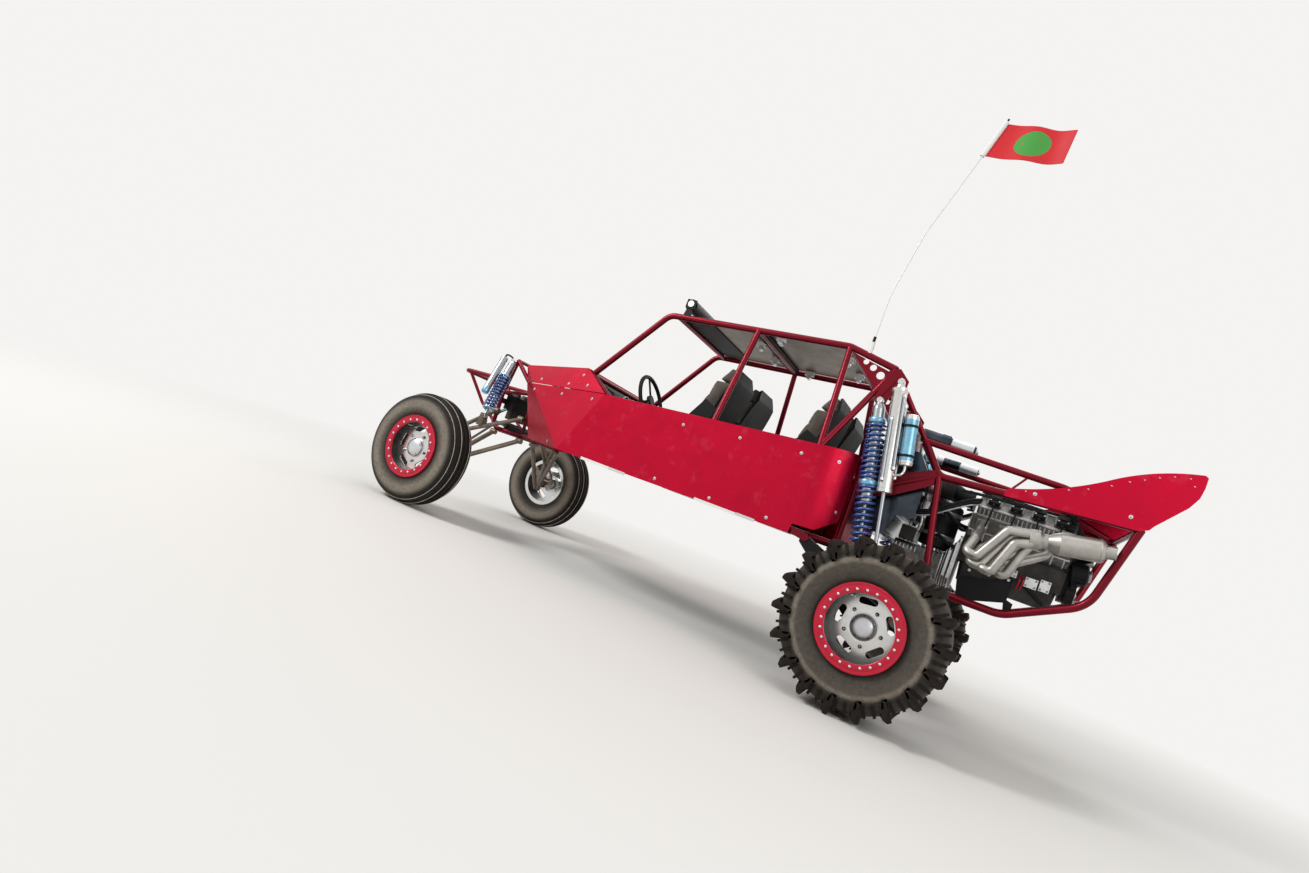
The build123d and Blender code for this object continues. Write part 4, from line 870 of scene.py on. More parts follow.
@dataclass
class CoiloverPair:
    """Rear coilovers: silver bodies, two blue springs on a slider, rod and eyes. Millimetres."""

    top: tuple = (814, 556, 1590)
    foot: tuple = (990, 556, 664)
    spring_radius: float = 46.5
    wire: float = 8.6
    spring_shares: tuple = (0.142, 0.478, 0.506, 0.905)

    def build(self, name: str, side: int) -> None:
        """Builds one coilover: (along, radius) rows turned about the line from its top eye to its foot.

        Args:
            name: left or right.
            side: which side of the car.
        """
        top, foot = at(self.top, side), at(self.foot, side)
        axis = foot - top
        length = np.linalg.norm(axis) / MM
        first, slider_top, slider_low, last = self.spring_shares
        shell = Shell(f"rear_coilover_body_{name}")
        body = [(18, 0.01), (18, 22), (26, 24), (34, 31), (50, 33.5), (length * 0.58, 33.5),
                (length * 0.6, 31), (length * 0.6, 12), (length * 0.6, 0.01)]
        shell.lathe(np.array(body) * MM, top, axis, POLISHED_STEEL, 40)
        rod = [(length * 0.59, 11), (length - 14, 11)]
        shell.lathe(np.array(rod) * MM, top, axis, POLISHED_STEEL, 20)
        for eye in (top, foot):
            shell.lathe(np.array([(-19, 0.01), (-19, 9), (-19.5, 10), (-19.5, 17), (-15, 20), (15, 20), (19.5, 17),
                                  (19.5, 10), (19, 9), (19, 0.01)]) * MM, eye, (0, side, 0), MACHINED_ALUMINIUM, 28)
        body_piece = shell.build("chassis", "shock", 35)
        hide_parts("rear_coilovers")
        shell = Shell(f"rear_spring_{name}")
        # Collars: where each starts and ends as shares of the length, and its radius
        collars = ((first - 0.034, first - 0.004, 46), (slider_top - 0.002, slider_low + 0.002, 50.5),
                   (last + 0.004, last + 0.022, 47))
        for low, high, radius in collars:
            span = np.array([low, low, low + 0.004, high - 0.004, high, high]) * length
            rows = np.stack([span, [34.2, radius - 3, radius, radius, radius - 3, 34.2]], -1)
            if low > self.spring_shares[2]:
                rows[[0, 5], 1] = 11.2
            shell.lathe(rows * MM, top, axis, BLUE_CAN, 40)
        for low, high, turns in ((first, slider_top, 10.5), (slider_low, last, 11.5)):
            Coil(top + axis * low, top + axis * high, self.spring_radius * MM, self.wire * MM, turns).wind(
                shell, BLUE_SPRING)
        shell.build("chassis", "spring", 60)


@dataclass
class BypassPair:
    """Rear bypass shocks: silver body, three side tubes, pale blue reservoir and its hose. Millimetres."""

    top: tuple = (894, 582, 1712)
    foot: tuple = (1087, 582, 612)
    can_top: tuple = (1008, 582, 1553)
    can_foot: tuple = (1057, 582, 1277)
    can_slope: float = 0.1775
    # Side tubes: how far behind and outside the body's middle each lies, and its upper and lower heights
    tubes: tuple = ((-16, 47, 1500, 1168), (34, 36, 1640, 1240), (40, -26, 1600, 1200))

    def body_x(self, z: float) -> float:
        """The body's x at a height, along the straight line from top to foot."""
        return self.top[0] + (self.foot[0] - self.top[0]) / (self.top[2] - self.foot[2]) * (self.top[2] - z)

    def build(self, name: str, side: int) -> None:
        """Builds one bypass shock: a turned body, and side tubes that run along it and bend in at both ends.

        Args:
            name: left or right.
            side: which side of the car.
        """
        top, foot = at(self.top, side), at(self.foot, side)
        axis = foot - top
        length = np.linalg.norm(axis) / MM
        shell = Shell(f"bypass_body_{name}")
        neck = length * 0.55
        body = [(17, 0.01), (17, 22), (30, 25), (34, 36), (38, 42), (56, 42), (60, 39.5), (neck - 24, 39.5),
                (neck - 22, 42), (neck - 3, 42), (neck, 39), (neck, 0.01)]
        shell.lathe(np.array(body) * MM, top, axis, MACHINED_ALUMINIUM, 44)
        shell.lathe(mm((neck - 4, 11), (length - 14, 11)), top, axis, POLISHED_STEEL, 20)
        for eye in (top, foot):
            shell.lathe(mm((-19.5, 0.01), (-19.5, 17), (-15, 20), (15, 20), (19.5, 17), (19.5, 0.01)),
                        eye, (0, side, 0), MACHINED_ALUMINIUM, 28)
        for aft, out, high, low in self.tubes:
            ends = [at((self.body_x(z) + aft, self.top[1] + out, z), side) for z in (high, low)]
            roots = [at((self.body_x(z) + aft * 0.5, self.top[1] + out * 0.5, z), side)
                     for z in (high + 6, low - 6)]
            path = flow([roots[0], ends[0], between(*ends, [0.06])[0], between(*ends, [0.5])[0],
                         between(*ends, [0.94])[0], ends[1], roots[1]], 6)
            shell.pipe(path, 8.4 * MM, POLISHED_STEEL, 12)
            for end in (between(*ends, [-0.01, 0.03]), between(*ends, [0.97, 1.01])):
                shell.pipe(end, 11 * MM, MACHINED_ALUMINIUM, 12)
        body_piece = shell.build("chassis", "shock", 35)
        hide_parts("bypass_shocks")
        self.reservoir(name, side)

    def reservoir(self, name: str, side: int) -> None:
        """The can with its silver ends and the short hose into the body.

        Args:
            name: left or right.
            side: which side of the car.
        """
        top, foot = at(self.can_top, side), at(self.can_foot, side)
        length = np.linalg.norm(foot - top) / MM
        shell = Shell(f"bypass_reservoir_{name}")
        shell.lathe(mm((26, 37), (length - 20, 37)), top, foot - top, BLUE_CAN, 40)
        for flip in (1, -1):
            start, way = (top, foot - top) if flip == 1 else (foot, top - foot)
            cap = [(0, 0.01), (0, 30), (4, 34.5), (14, 35), (15, 37.6), (27, 37.6), (27, 36.5)]
            shell.lathe(np.array(cap) * MM, start, way, MACHINED_ALUMINIUM, 40)
        half = self.can_foot[1]
        hose = flow([at((self.can_foot[0], half, self.can_foot[2] + 4), side),
                     at((self.can_foot[0] + 4, half, self.can_foot[2] - 26), side),
                     at((self.can_foot[0] - 8, half, 1226), side),
                     at((self.body_x(1212) + 34, half, 1212), side)], 8)
        shell.pipe(hose, 7 * MM, MACHINED_ALUMINIUM, 12)
        for station in (1330, 1490):
            middle = at((self.can_top[0] + (self.can_top[2] - station) * self.can_slope, half, station), side)
            body_at = at((self.body_x(station), half, station), side)
            shell.pipe(np.array([body_at, middle]), 9 * MM, SATIN_BLACK, 8)
            shell.lathe(mm((-7, 37.1), (-7, 40), (7, 40), (7, 37.1)), middle, foot - top, SATIN_BLACK, 36)
        shell.build("chassis", "shock", 35)


@dataclass
class FrontShocks:
    """Front coilovers and their reservoirs, in millimetres."""

    top: tuple = (-1852, 330, 1195)
    foot: tuple = (-1800, 486, 742)
    can_top: tuple = (-1925, 350, 1200)
    can_foot: tuple = (-1880, 480, 900)

    def build(self, name: str, side: int) -> None:
        """Builds one front shock: (along, radius) rows turned about the line from its top eye to its foot.

        Args:
            name: left or right.
            side: which side of the car.
        """
        top, foot = at(self.top, side), at(self.foot, side)
        axis = foot - top
        length = np.linalg.norm(axis) / MM
        shell = Shell(f"front_coilover_{name}")
        shell.lathe(np.array([(17, 0.01), (17, 20), (26, 29), (length * 0.6, 29.5), (length * 0.61, 12),
                              (length * 0.61, 0.01)]) * MM, top, axis, POLISHED_STEEL, 36)
        shell.lathe(mm((length * 0.6, 9), (length - 12, 9)), top, axis, POLISHED_STEEL, 16)
        for eye in (top, foot):
            shell.lathe(np.array([(-19.5, 0.01), (-19.5, 16), (-15, 19.5), (15, 19.5), (19.5, 16),
                                  (19.5, 0.01)]) * MM, eye, (0, side, 0), MACHINED_ALUMINIUM, 24)
        for low, high, radius, inner in ((0.27, 0.3, 42, 29.8), (0.855, 0.88, 42, 9.2)):
            span = np.array([low, low, low + 0.006, high - 0.006, high, high]) * length
            rows = np.stack([span, [inner, radius - 3, radius, radius, radius - 3, inner]], -1)
            shell.lathe(rows * MM, top, axis, BLUE_CAN, 36)
        Coil(top + axis * 0.302, top + axis * 0.853, 39.5 * MM, 7.2 * MM, 10.5).wind(shell, BLUE_SPRING)
        item = shell.build("chassis", "shock", 40)
        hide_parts("front_shocks")
        self.reservoir(name, side)

    def reservoir(self, name: str, side: int) -> None:
        """The silver can beside the hoop and its hose to the shock's head.

        Args:
            name: left or right.
            side: which side of the car.
        """
        high, low = at(self.can_top, side), at(self.can_foot, side)
        shell = Shell(f"front_reservoir_{name}")
        length = np.linalg.norm(low - high) / MM
        shell.lathe(np.array([(0, 0.01), (0, 22), (5, 27), (22, 27.4), (23, 26), (length - 42, 26),
                              (length - 41, 27.6)]) * MM, high, low - high, POLISHED_STEEL, 36)
        shell.lathe(np.array([(length - 41, 27.6), (length - 8, 27.6), (length - 2, 24), (length, 18),
                              (length, 0.01)]) * MM, high, low - high, BLUE_CAN, 36)
        hose = flow([high + (0, 0, 0.004), high + (0.012, 0, 0.026), at((-1880, 336, 1222), side),
                     at((-1856, 330, 1206), side)], 8)
        shell.pipe(hose, 6.4 * MM, MOULDED_BLACK, 12)
        shell.build("chassis", "shock", 40)


def build_shocks() -> None:
    """All shocks on both sides."""
    for name, side in SIDES:
        CoiloverPair().build(name, side)
        BypassPair().build(name, side)
        FrontShocks().build(name, side)


def bar(shell: Shell, start: np.ndarray, end: np.ndarray, radius: float, finish: Finish, steps: int = 20) -> None:
    """A short turned bar with eased ends, in metres.

    Args:
        shell: the shell that takes it.
        start: the middle of one end.
        end: the middle of the other.
        radius: its radius.
        finish: its finish.
        steps: facets round it.
    """
    length = float(np.linalg.norm(np.asarray(end) - start))
    ease = min(radius, length) * 0.12
    shell.lathe([(0, 1e-5), (0, radius - ease), (ease, radius), (length - ease, radius), (length, radius - ease),
                 (length, 1e-5)], start, np.asarray(end) - start, finish, steps)


def block(shell: Shell, centre: np.ndarray, axes: tuple, size: tuple, finish: Finish) -> None:
    """A box about a centre: its corners are the centre plus or minus half of each size along its axis.

    Args:
        shell: the shell that takes it.
        centre: its centre in metres.
        axes: three unit directions.
        size: three sizes in millimetres.
        finish: its finish.
    """
    a, b, c = (np.asarray(axis, float) * length * MM / 2 for axis, length in zip(axes, size))
    corners = np.array([a + b, a - b, -a - b, -a + b])
    shell.plate(np.asarray(centre) + corners - c, 2 * c, finish)


@dataclass(frozen=True)
class Pad:
    """One pad of a bucket seat: its side outline (x from the hip, z) and its two half-widths from the seat's middle."""

    outline: tuple
    low: float
    high: float


BOLSTER = ((-488, 820), (-20, 778), (48, 806), (188, 1284), (116, 1316), (28, 1170), (-54, 1030), (-460, 990))
SEAT_PADS = (
    Pad(((-492, 834), (-60, 802), (-22, 925), (-60, 944), (-480, 936)), -152, 152),
    Pad(((48, 846), (214, 1482), (110, 1482), (-30, 975), (-12, 900)), -152, 152),
    Pad(((221, 1494), (208, 1570), (168, 1578), (112, 1494)), -118, 118),
    Pad(BOLSTER, 158, 210),
    Pad(BOLSTER, -210, -158),
)


@dataclass
class BucketSeats:
    """Four bucket seats: a hard shell on four legs, with foam pads swollen under their covers."""

    rows: tuple = (("front", -330), ("rear", 345))
    half: float = 250
    voxel: float = 0.006
    cap: float = 0.013
    frames: int = 20
    band: tuple = ((-500, 812), (-20, 770), (60, 800), (245, 1500), (226, 1580), (214, 1574), (230, 1500), (48, 814),
                   (-20, 784), (-498, 826))
    wing: tuple = ((-500, 808), (-20, 765), (62, 796), (200, 1290), (110, 1330), (20, 1180), (-60, 1040),
                   (-470, 1000))
    legs: tuple = ((-400, 811), (-60, 782))
    # Seams in metres: heights across the back and places along the seat, their width and depth
    back_seams: tuple = (1.08, 1.18, 1.28, 1.38)
    seat_seams: tuple = (-0.40, -0.30, -0.20, -0.10)
    seam_width: float = 0.006
    seam_depth: float = 0.007

    def swollen(self) -> tuple[np.ndarray, list]:
        """The pads' points and faces after their covers have swollen, about the hip at zero.

        Returns:
            The points in metres and the faces.
        """
        shell = Shell("pad_blank")
        for pad in SEAT_PADS:
            line = mm(*((x, pad.low, z) for x, z in pad.outline))
            shell.plate(line, (0, (pad.high - pad.low) * MM, 0), SEAT_CLOTH)
        item = shell.build("chassis", "upholstery", 30)
        remesh = item.modifiers.new("remesh", "REMESH")
        remesh.mode, remesh.voxel_size = "VOXEL", self.voxel
        graph = bpy.context.evaluated_depsgraph_get()
        mesh = bpy.data.meshes.new_from_object(item.evaluated_get(graph))
        item.modifiers.clear()
        item.data = mesh
        start = np.array([v.co[:] for v in mesh.vertices])
        place = start
        cloth = item.modifiers.new("cloth", "CLOTH")
        cloth.settings.use_pressure = True
        cloth.settings.uniform_pressure_force = 4.0
        cloth.settings.effector_weights.gravity = 0.0
        for number in range(1, self.frames + 1):
            bpy.context.scene.frame_set(number)
        graph = bpy.context.evaluated_depsgraph_get()
        end = np.array([v.co[:] for v in item.evaluated_get(graph).data.vertices])
        move = end - start
        reach = np.linalg.norm(move, axis=1)[:, None]
        place = start + move * np.minimum(1.0, self.cap / np.maximum(reach, 1e-9))
        bpy.context.scene.frame_set(1)
        faces = [list(p.vertices) for p in mesh.polygons]
        bpy.data.objects.remove(item, do_unlink=True)
        LOG.info("seat pads, %d faces each", len(faces))
        return place, faces

    def channelled(self, place: np.ndarray) -> np.ndarray:
        """Sews shallow channels across the middle pads: depth times exp(-(d / width) squared) from each seam.

        Args:
            place: n by 3 places of the pads.
        Returns:
            The places with the channels pressed in.
        """
        moved = place.copy()
        middle = np.abs(place[:, 1]) < 0.150
        for height in self.back_seams:
            fall = np.exp(-((place[:, 2] - height) / self.seam_width) ** 2) * middle * (place[:, 2] > 1.0)
            moved[:, 0] += self.seam_depth * fall * (place[:, 0] < (place[:, 2] - 0.86) * 0.25 + 0.02)
        for length in self.seat_seams:
            fall = np.exp(-((place[:, 0] - length) / self.seam_width) ** 2) * middle
            moved[:, 2] -= self.seam_depth * fall * (place[:, 2] > 0.90) * (place[:, 2] < 0.97)
        return moved

    def back(self, shell: Shell, shift: np.ndarray) -> None:
        """The shell's band under and behind the pads, narrowing to a round top: half-width w sqrt(1 - h squared).

        Args:
            shell: the shell that takes it.
            shift: the seat's place in metres.
        """
        corners = np.array(self.band + self.band[:1], float)
        shares = np.linspace(0, 1, 14, endpoint=False)[:, None]
        line = np.vstack([a + (b - a) * shares for a, b in zip(corners, corners[1:])])
        half = 214 * np.sqrt(1 - (0.8 * np.clip((line[:, 1] - 1330) / 250, 0, 1)) ** 2)
        sides = [np.stack([line[:, 0], face * half, line[:, 1]], -1) * MM + shift for face in (-1, 1)]
        shell.grid(np.stack(sides), MOULDED_BLACK, wrap_v=True)
        for one in sides:
            shell.lid(one, MOULDED_BLACK)

    def build(self) -> None:
        """Makes the shells and the pads of all four seats."""
        place, faces = self.swollen()
        place = self.channelled(place)
        for row, hip in self.rows:
            for name, side in SIDES:
                node = f"seat_{row}_{name}"
                shift = mm(hip, side * self.half, 0)
                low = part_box(node)[0][2]
                shell = Shell(f"{node}_shell")
                self.back(shell, shift)
                for outline, first, last in ((self.wing, -220, -214), (self.wing, 214, 220)):
                    line = mm(*((x, first, z) for x, z in outline)) + shift
                    shell.plate(line, (0, (last - first) * MM, 0), MOULDED_BLACK)
                for x, z in self.legs:
                    for half in (-189, 189):
                        foot = shift + mm(x, half, 0)
                        bar(shell, foot + (0, 0, low + 0.004), foot + (0, 0, z * MM), 0.011, SATIN_BLACK, 16)
                piece = shell.build("chassis", "upholstery", 30, 0.002)
                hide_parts(node)
                pads = Shell(f"{node}_pads")
                pads.add(place + shift, np.array([f for f in faces if len(f) == 4]), SEAT_CLOTH)
                soft = pads.build("chassis", "upholstery", 60, 0.0, 1)


@dataclass(frozen=True)
class PatchedNylon(Finish):
    """Flag nylon with one plain green oval printed on it, placed by the cloth's own flat coordinates."""

    patch: str = "3F9A3A"

    def colour(self, tree: bpy.types.NodeTree, place: bpy.types.NodeSocket) -> bpy.types.NodeSocket:
        """Red cloth, green where the oval's squared radius is under one.

        Args:
            tree: the node tree.
            place: object coordinates.
        Returns:
            The colour socket.
        """
        ground = super().colour(tree, place)
        flat = add_node(tree, "ShaderNodeAttribute", {"attribute_name": "oval"}).outputs["Fac"]
        inside = add_node(tree, "ShaderNodeMath", {"operation": "LESS_THAN"}, {0: flat, 1: 1.0})
        mixed = add_node(tree, "ShaderNodeMix", {"data_type": "RGBA"}, {0: inside.outputs["Value"], 6: ground})
        mixed.inputs[7].default_value = srgb(self.patch)
        return mixed.outputs[2]


# Woven nylon flag cloth: bright red, matt, with a faint rustle of fine folds
PRINTED_NYLON = PatchedNylon("printed_flag_nylon", "D3121F", "B90E1A", 0.0, 0.62, 0.0, 1.2, 0.3, 120, 0.4,
                             sheen=0.15)


@dataclass
class FlagAndWhip:
    """The flag streaming back from its sleeve, and the whip's black tip and hem."""

    hoist: tuple = ((890.9, 3119.8), (953.7, 3327.5))
    fly: tuple = ((1300, 3124), (1316, 3322))
    half: float = 481
    sway: float = 0.016
    waves: float = 1.6
    steps: tuple = (96, 48)
    # Half-sizes of the printed oval as shares of the cloth
    oval: tuple = (0.24, 0.36)

    def build(self) -> None:
        """Makes the cloth: across it, y = sway * u * sin(2 pi waves u + 0.6 v), and its flat size is the arc's."""
        u, v = np.meshgrid(np.linspace(0, 1, self.steps[0]), np.linspace(0, 1, self.steps[1]), indexing="ij")
        low, high = (np.array(self.hoist) * MM)
        far_low, far_high = (np.array(self.fly) * MM)
        near = low + (high - low) * v[..., None]
        far = far_low + (far_high - far_low) * v[..., None]
        flat = near + (far - near) * u[..., None] * 0.985
        flat[..., 1] -= 0.006 * np.sin(math.pi * u) * (1 - v)
        y = -self.half * MM + self.sway * u ** 0.7 * np.sin(2 * math.pi * self.waves * u + 0.6 * v)
        points = np.stack([flat[..., 0], y, flat[..., 1]], -1)
        shell = Shell("flag_cloth")
        shell.grid(points, PRINTED_NYLON)
        item = shell.build("chassis", "flag", 80)
        oval = ((u - 0.5) / self.oval[0]) ** 2 + ((v - 0.5) / self.oval[1]) ** 2
        spot = item.data.attributes.new("oval", "FLOAT", "POINT")
        near_point = {tuple(np.round(p, 5)): o for p, o in zip(points.reshape(-1, 3), oval.ravel())}
        spot.data.foreach_set("value", [near_point.get(tuple(np.round(np.array(p.co[:]), 5)), 9.0)
                                        for p in item.data.vertices])
        cloth = item.modifiers.new("cloth_thickness", "SOLIDIFY")
        cloth.thickness, cloth.offset = 0.0006, 0.0
        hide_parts("flag")
        tip = Shell("whip_tip")
        bar(tip, mm(930.5, -self.half, 3300), mm(947.5, -self.half, 3357), 0.0056, MOULDED_BLACK, 16)
        bar(tip, mm(651, -self.half, 1921), mm(651, -self.half, 1955), 0.0085, MOULDED_BLACK, 20)
        tip.build("chassis", "whip", 40)


@dataclass
class EngineDress:
    """What is bolted to the engine: rocker covers' fins and screws, coil packs, leads, header flanges, intake, drive.

    Each bank has its own frame: up is square to its cover and out is square to that, both leaning half a right angle.
    """

    crank_z: float = 1000
    front_x: float = 1420
    half_length: float = 265
    spacing: float = 112
    lean: float = math.radians(45)

    def spot(self, side: int, x: float, up: float, out: float) -> np.ndarray:
        """A place on a bank: crank line + up * (0, sin lean, cos lean) + out * (0, cos lean, -sin lean).

        Args:
            side: which bank.
            x: place along the car, in millimetres.
            up: distance above the crank, square to the cover.
            out: distance outwards from the bank's middle.
        Returns:
            The place in metres.
        """
        _, wide, high = self.axes(side)
        return (np.array([x, 0, self.crank_z]) + up * high + out * wide) * MM

    def axes(self, side: int) -> tuple:
        """The bank's directions: along the crank, outwards and up."""
        return (np.array([1.0, 0, 0]), np.array([0, side * math.cos(self.lean), -math.sin(self.lean)]),
                np.array([0, side * math.sin(self.lean), math.cos(self.lean)]))

    def cover(self, name: str, side: int) -> None:
        """Ribs along the cover, its flange and its screws.

        Args:
            name: left or right.
            side: which side of the car.
        """
        shell = Shell(f"rocker_cover_{name}")
        axes, spot = self.axes(side), partial(self.spot, side)
        for out in (-56, -48, 48, 56):
            block(shell, spot(self.front_x + self.half_length, 377, out), axes, (470, 4, 8), BRIGHT_CAST)
        block(shell, spot(self.front_x + self.half_length, 325.5, 0), axes, (504, 134, 7), BRIGHT_CAST)
        for number in range(22):
            block(shell, spot(self.front_x + 40 + number * 21.4, 350, 61.5), axes, (6, 5, 38), BRIGHT_CAST)
        places = [spot(self.front_x + 30 + n * 94, 329, out) for n in range(6) for out in (-63, 63)]
        shell.studs(np.array(places), np.tile(axes[2], (len(places), 1)), 0.006, 0.005, POLISHED_STEEL)
        bar(shell, spot(self.front_x + 470, 372, 16), spot(self.front_x + 470, 398, 16), 0.024, MOULDED_BLACK, 32)
        shell.build("chassis", "cast_metal", 35, 0.0012)

    def coils(self, name: str, side: int) -> None:
        """One coil pack over each cylinder, its lead looping down to a white-booted plug in the head.

        Args:
            name: left or right.
            side: which side of the car.
        """
        shell = Shell(f"coil_packs_{name}")
        axes, spot = self.axes(side), partial(self.spot, side)
        for cylinder in range(4):
            x = self.front_x + 96 + cylinder * self.spacing
            block(shell, spot(x, 402, 6), axes, (58, 62, 24), MOULDED_BLACK)
            block(shell, spot(x, 417, -4), axes, (36, 30, 8), MOULDED_BLACK)
            block(shell, spot(x + 18, 400, -32), axes, (18, 18, 16), MOULDED_BLACK)
            for reach in (-22, 22):
                bar(shell, spot(x + reach, 414, 24), spot(x + reach, 419, 24), 0.005, POLISHED_STEEL, 12)
            bar(shell, spot(x, 402, 36), spot(x, 400, 54), 0.009, MOULDED_BLACK, 16)
            plug = spot(x - 8, 284, 96)
            lead = flow([spot(x, 400, 52), spot(x + 2, 384, 84), spot(x - 4, 340, 104), spot(x - 8, 300, 108),
                         plug], 10)
            shell.pipe(lead, 4.2 * MM, MOULDED_BLACK, 12)
            bar(shell, plug + (spot(0, 0, 12) - spot(0, 0, 0)), spot(x - 8, 274, 74), 0.0095, WHIP_WHITE, 20)
        clips = [spot(self.front_x + 110 + n * self.spacing, 394 + 4 * (n % 2), -46) for n in range(4)]
        loom = flow([spot(self.front_x + 20, 398, -44), *clips, spot(self.front_x + 500, 380, -60)], 10)
        shell.pipe(loom, 7.5 * MM, MOULDED_BLACK, 12)
        shell.build("chassis", "cast_metal", 35, 0.0015)

    def ports(self, name: str, side: int) -> None:
        """Header flanges with their bolts, and the cast ribs under the head.

        Args:
            name: left or right.
            side: which side of the car.
        """
        shell = Shell(f"header_flanges_{name}")
        axes, spot = self.axes(side), partial(self.spot, side)
        for cylinder in range(4):
            x = self.front_x + 70 + cylinder * self.spacing
            block(shell, spot(x, 272, 78), axes, (62, 9, 78), STAINLESS)
            places = [spot(x + dx, 272 + dz, 82.5) for dx, dz in ((-22, 30), (22, -30), (22, 30), (-22, -30))]
            shell.studs(np.array(places), np.tile(axes[1], (4, 1)), 0.0065, 0.006, POLISHED_STEEL)
        for number in range(9):
            block(shell, spot(self.front_x + 34 + number * 58, 160, 70), axes, (8, 6, 108), BRIGHT_CAST)
        block(shell, spot(self.front_x + self.half_length, 219, 73), axes, (510, 10, 9), BRIGHT_CAST)
        block(shell, spot(self.front_x + self.half_length, 70, 70), axes, (510, 10, 12), BRIGHT_CAST)
        shell.build("chassis", "cast_metal", 35, 0.0015)

    def intake(self) -> None:
        """The plenum's ribs, its throttle body with a clamped hose, and the fuel rails."""
        shell = Shell("intake_dress")
        top = self.crank_z + 310
        for number in range(11):
            block(shell, mm(self.front_x + 75 + number * 38, 0, top + 3), SQUARE, (6, 176, 7), BRIGHT_CAST)
        bar(shell, mm(self.front_x + 36, 0, top - 38), mm(self.front_x - 22, 0, top - 38), 0.046, BRIGHT_CAST, 48)
        bar(shell, mm(self.front_x - 14, 0, top - 38), mm(self.front_x - 26, 0, top - 38), 0.050, SATIN_BLACK, 48)
        duct = flow(mm((self.front_x - 20, 0, top - 38), (1350, 4, top - 34), (1302, 14, top - 14),
                       (1280, 20, top - 10)), 10)
        shell.pipe(duct, 44 * MM, MOULDED_BLACK, 32)
        bar(shell, mm(1290, 20, top - 10), mm(1194, 20, top - 10), 0.062, FILTER_CLOTH, 48)
        bar(shell, mm(1196, 20, top - 10), mm(1186, 20, top - 10), 0.064, SATIN_SILVER, 48)
        for _, side in SIDES:
            rail = [mm(self.front_x + x, side * 134, self.crank_z + 246) for x in (30, 500)]
            bar(shell, rail[0], rail[1], 0.011, BLUE_CAN, 24)
            for cylinder in range(4):
                x = self.front_x + 84 + cylinder * self.spacing
                bar(shell, mm(x, side * 134, self.crank_z + 246), mm(x, side * 112, self.crank_z + 214), 0.008,
                    MOULDED_BLACK, 16)
        shell.build("chassis", "cast_metal", 35, 0.0015)

    def drive(self) -> None:
        """The belt round the pulleys, their hubs, and the ribbed alternator and pump beside them."""
        shell = Shell("drive_dress")
        face = self.front_x + 2 * self.half_length + 0.3
        # Pulleys: y, height above the crank and radius
        pulleys = np.array([(0, -10, 88), (-120, -60, 60), (-118, 86, 40), (0, 150, 66), (115, 60, 52)], float)
        for y, z, radius in pulleys:
            centre = mm(face + 62, y, self.crank_z + z)
            bar(shell, centre, centre + (0.004, 0, 0), radius * 0.62 * MM, BRIGHT_CAST, 48)
            bar(shell, centre, centre + (0.011, 0, 0), 0.013, POLISHED_STEEL, 6)
        ring = []
        for number, (y, z, radius) in enumerate(pulleys):
            before, after = pulleys[number - 1], pulleys[(number + 1) % len(pulleys)]
            away = np.array([y, z]) * 2 - before[:2] - after[:2]
            middle = math.atan2(away[1], away[0])
            for turn in np.linspace(0.6, -0.6, 7):
                ring.append((face + 44, y + (radius + 2) * math.cos(middle + turn),
                             self.crank_z + z + (radius + 2) * math.sin(middle + turn)))
        ring = np.array(ring) * MM
        width = np.array([0.012, 0, 0])
        shell.grid(np.stack([ring - width, ring + width]), MOULDED_BLACK, wrap_v=True)
        for side in (-1, 1):
            centre = mm(1962, side * 152, 1052)
            bar(shell, centre, centre + np.array([0.082, 0, 0.01]), 0.056, SATIN_BLACK if side < 0 else BRIGHT_CAST, 48)
            bar(shell, centre + (0.082, 0, 0.01), centre + (0.096, 0, 0.012), 0.03, POLISHED_STEEL, 32)
            for number in range(12):
                turn = number / 12 * 2 * math.pi
                spoke = np.array([0.045, 0.0565 * math.cos(turn), 0.0565 * math.sin(turn)])
                block(shell, centre + spoke, SQUARE, (60, 5, 5), SATIN_BLACK)
        shell.build("chassis", "black_metal", 35, 0.001)

    def build(self) -> None:
        """Dresses both banks, the intake and the drive."""
        for name, side in SIDES:
            self.cover(name, side)
            self.coils(name, side)
            self.ports(name, side)
        self.intake()
        self.drive()


@dataclass
class NoseDress:
    """The fluid reservoirs' box, its caps and the brake lines inside the front frame, in millimetres."""

    x: float = -1845
    caps: tuple = (-150, -60, 30, 120)

    def build(self) -> None:
        """Makes the box on two straps, the case under it, four caps, and lines down towards the arms."""
        shell = Shell("nose_box")
        block(shell, mm(self.x, 0, 898), SQUARE, (84, 420, 104), MOULDED_BLACK)
        block(shell, mm(self.x, 0, 953), SQUARE, (92, 428, 6), DARK_CAST)
        block(shell, mm(-1862, 0, 812), SQUARE, (50, 300, 68), DARK_CAST)
        for y in self.caps:
            bar(shell, mm(self.x, y, 955), mm(self.x, y, 983), 0.027, ZINC_ARM, 32)
            bar(shell, mm(self.x, y, 983), mm(self.x, y, 990), 0.021, MOULDED_BLACK, 32)
            bar(shell, mm(-1892, y, 890), mm(-1892, y, 922), 0.012, SATIN_SILVER, 20)
        for _, side in SIDES:
            block(shell, mm(-1882, side * 228, 898), SQUARE, (8, 46, 40), DARK_CAST)
            for spread, tone in ((0, SATIN_BLACK), (16, BLUE_CAN)):
                line = flow(mm((-1850, side * 190, 850 + spread), (-1866, side * 214, 826 + spread),
                               (-1880, side * 236, 800 + spread), (-1884, side * 262, 752 + spread)), 10)
                shell.pipe(line, 5 * MM, tone, 12)
        shell.build("chassis", "black_plastic", 40, 0.0015)


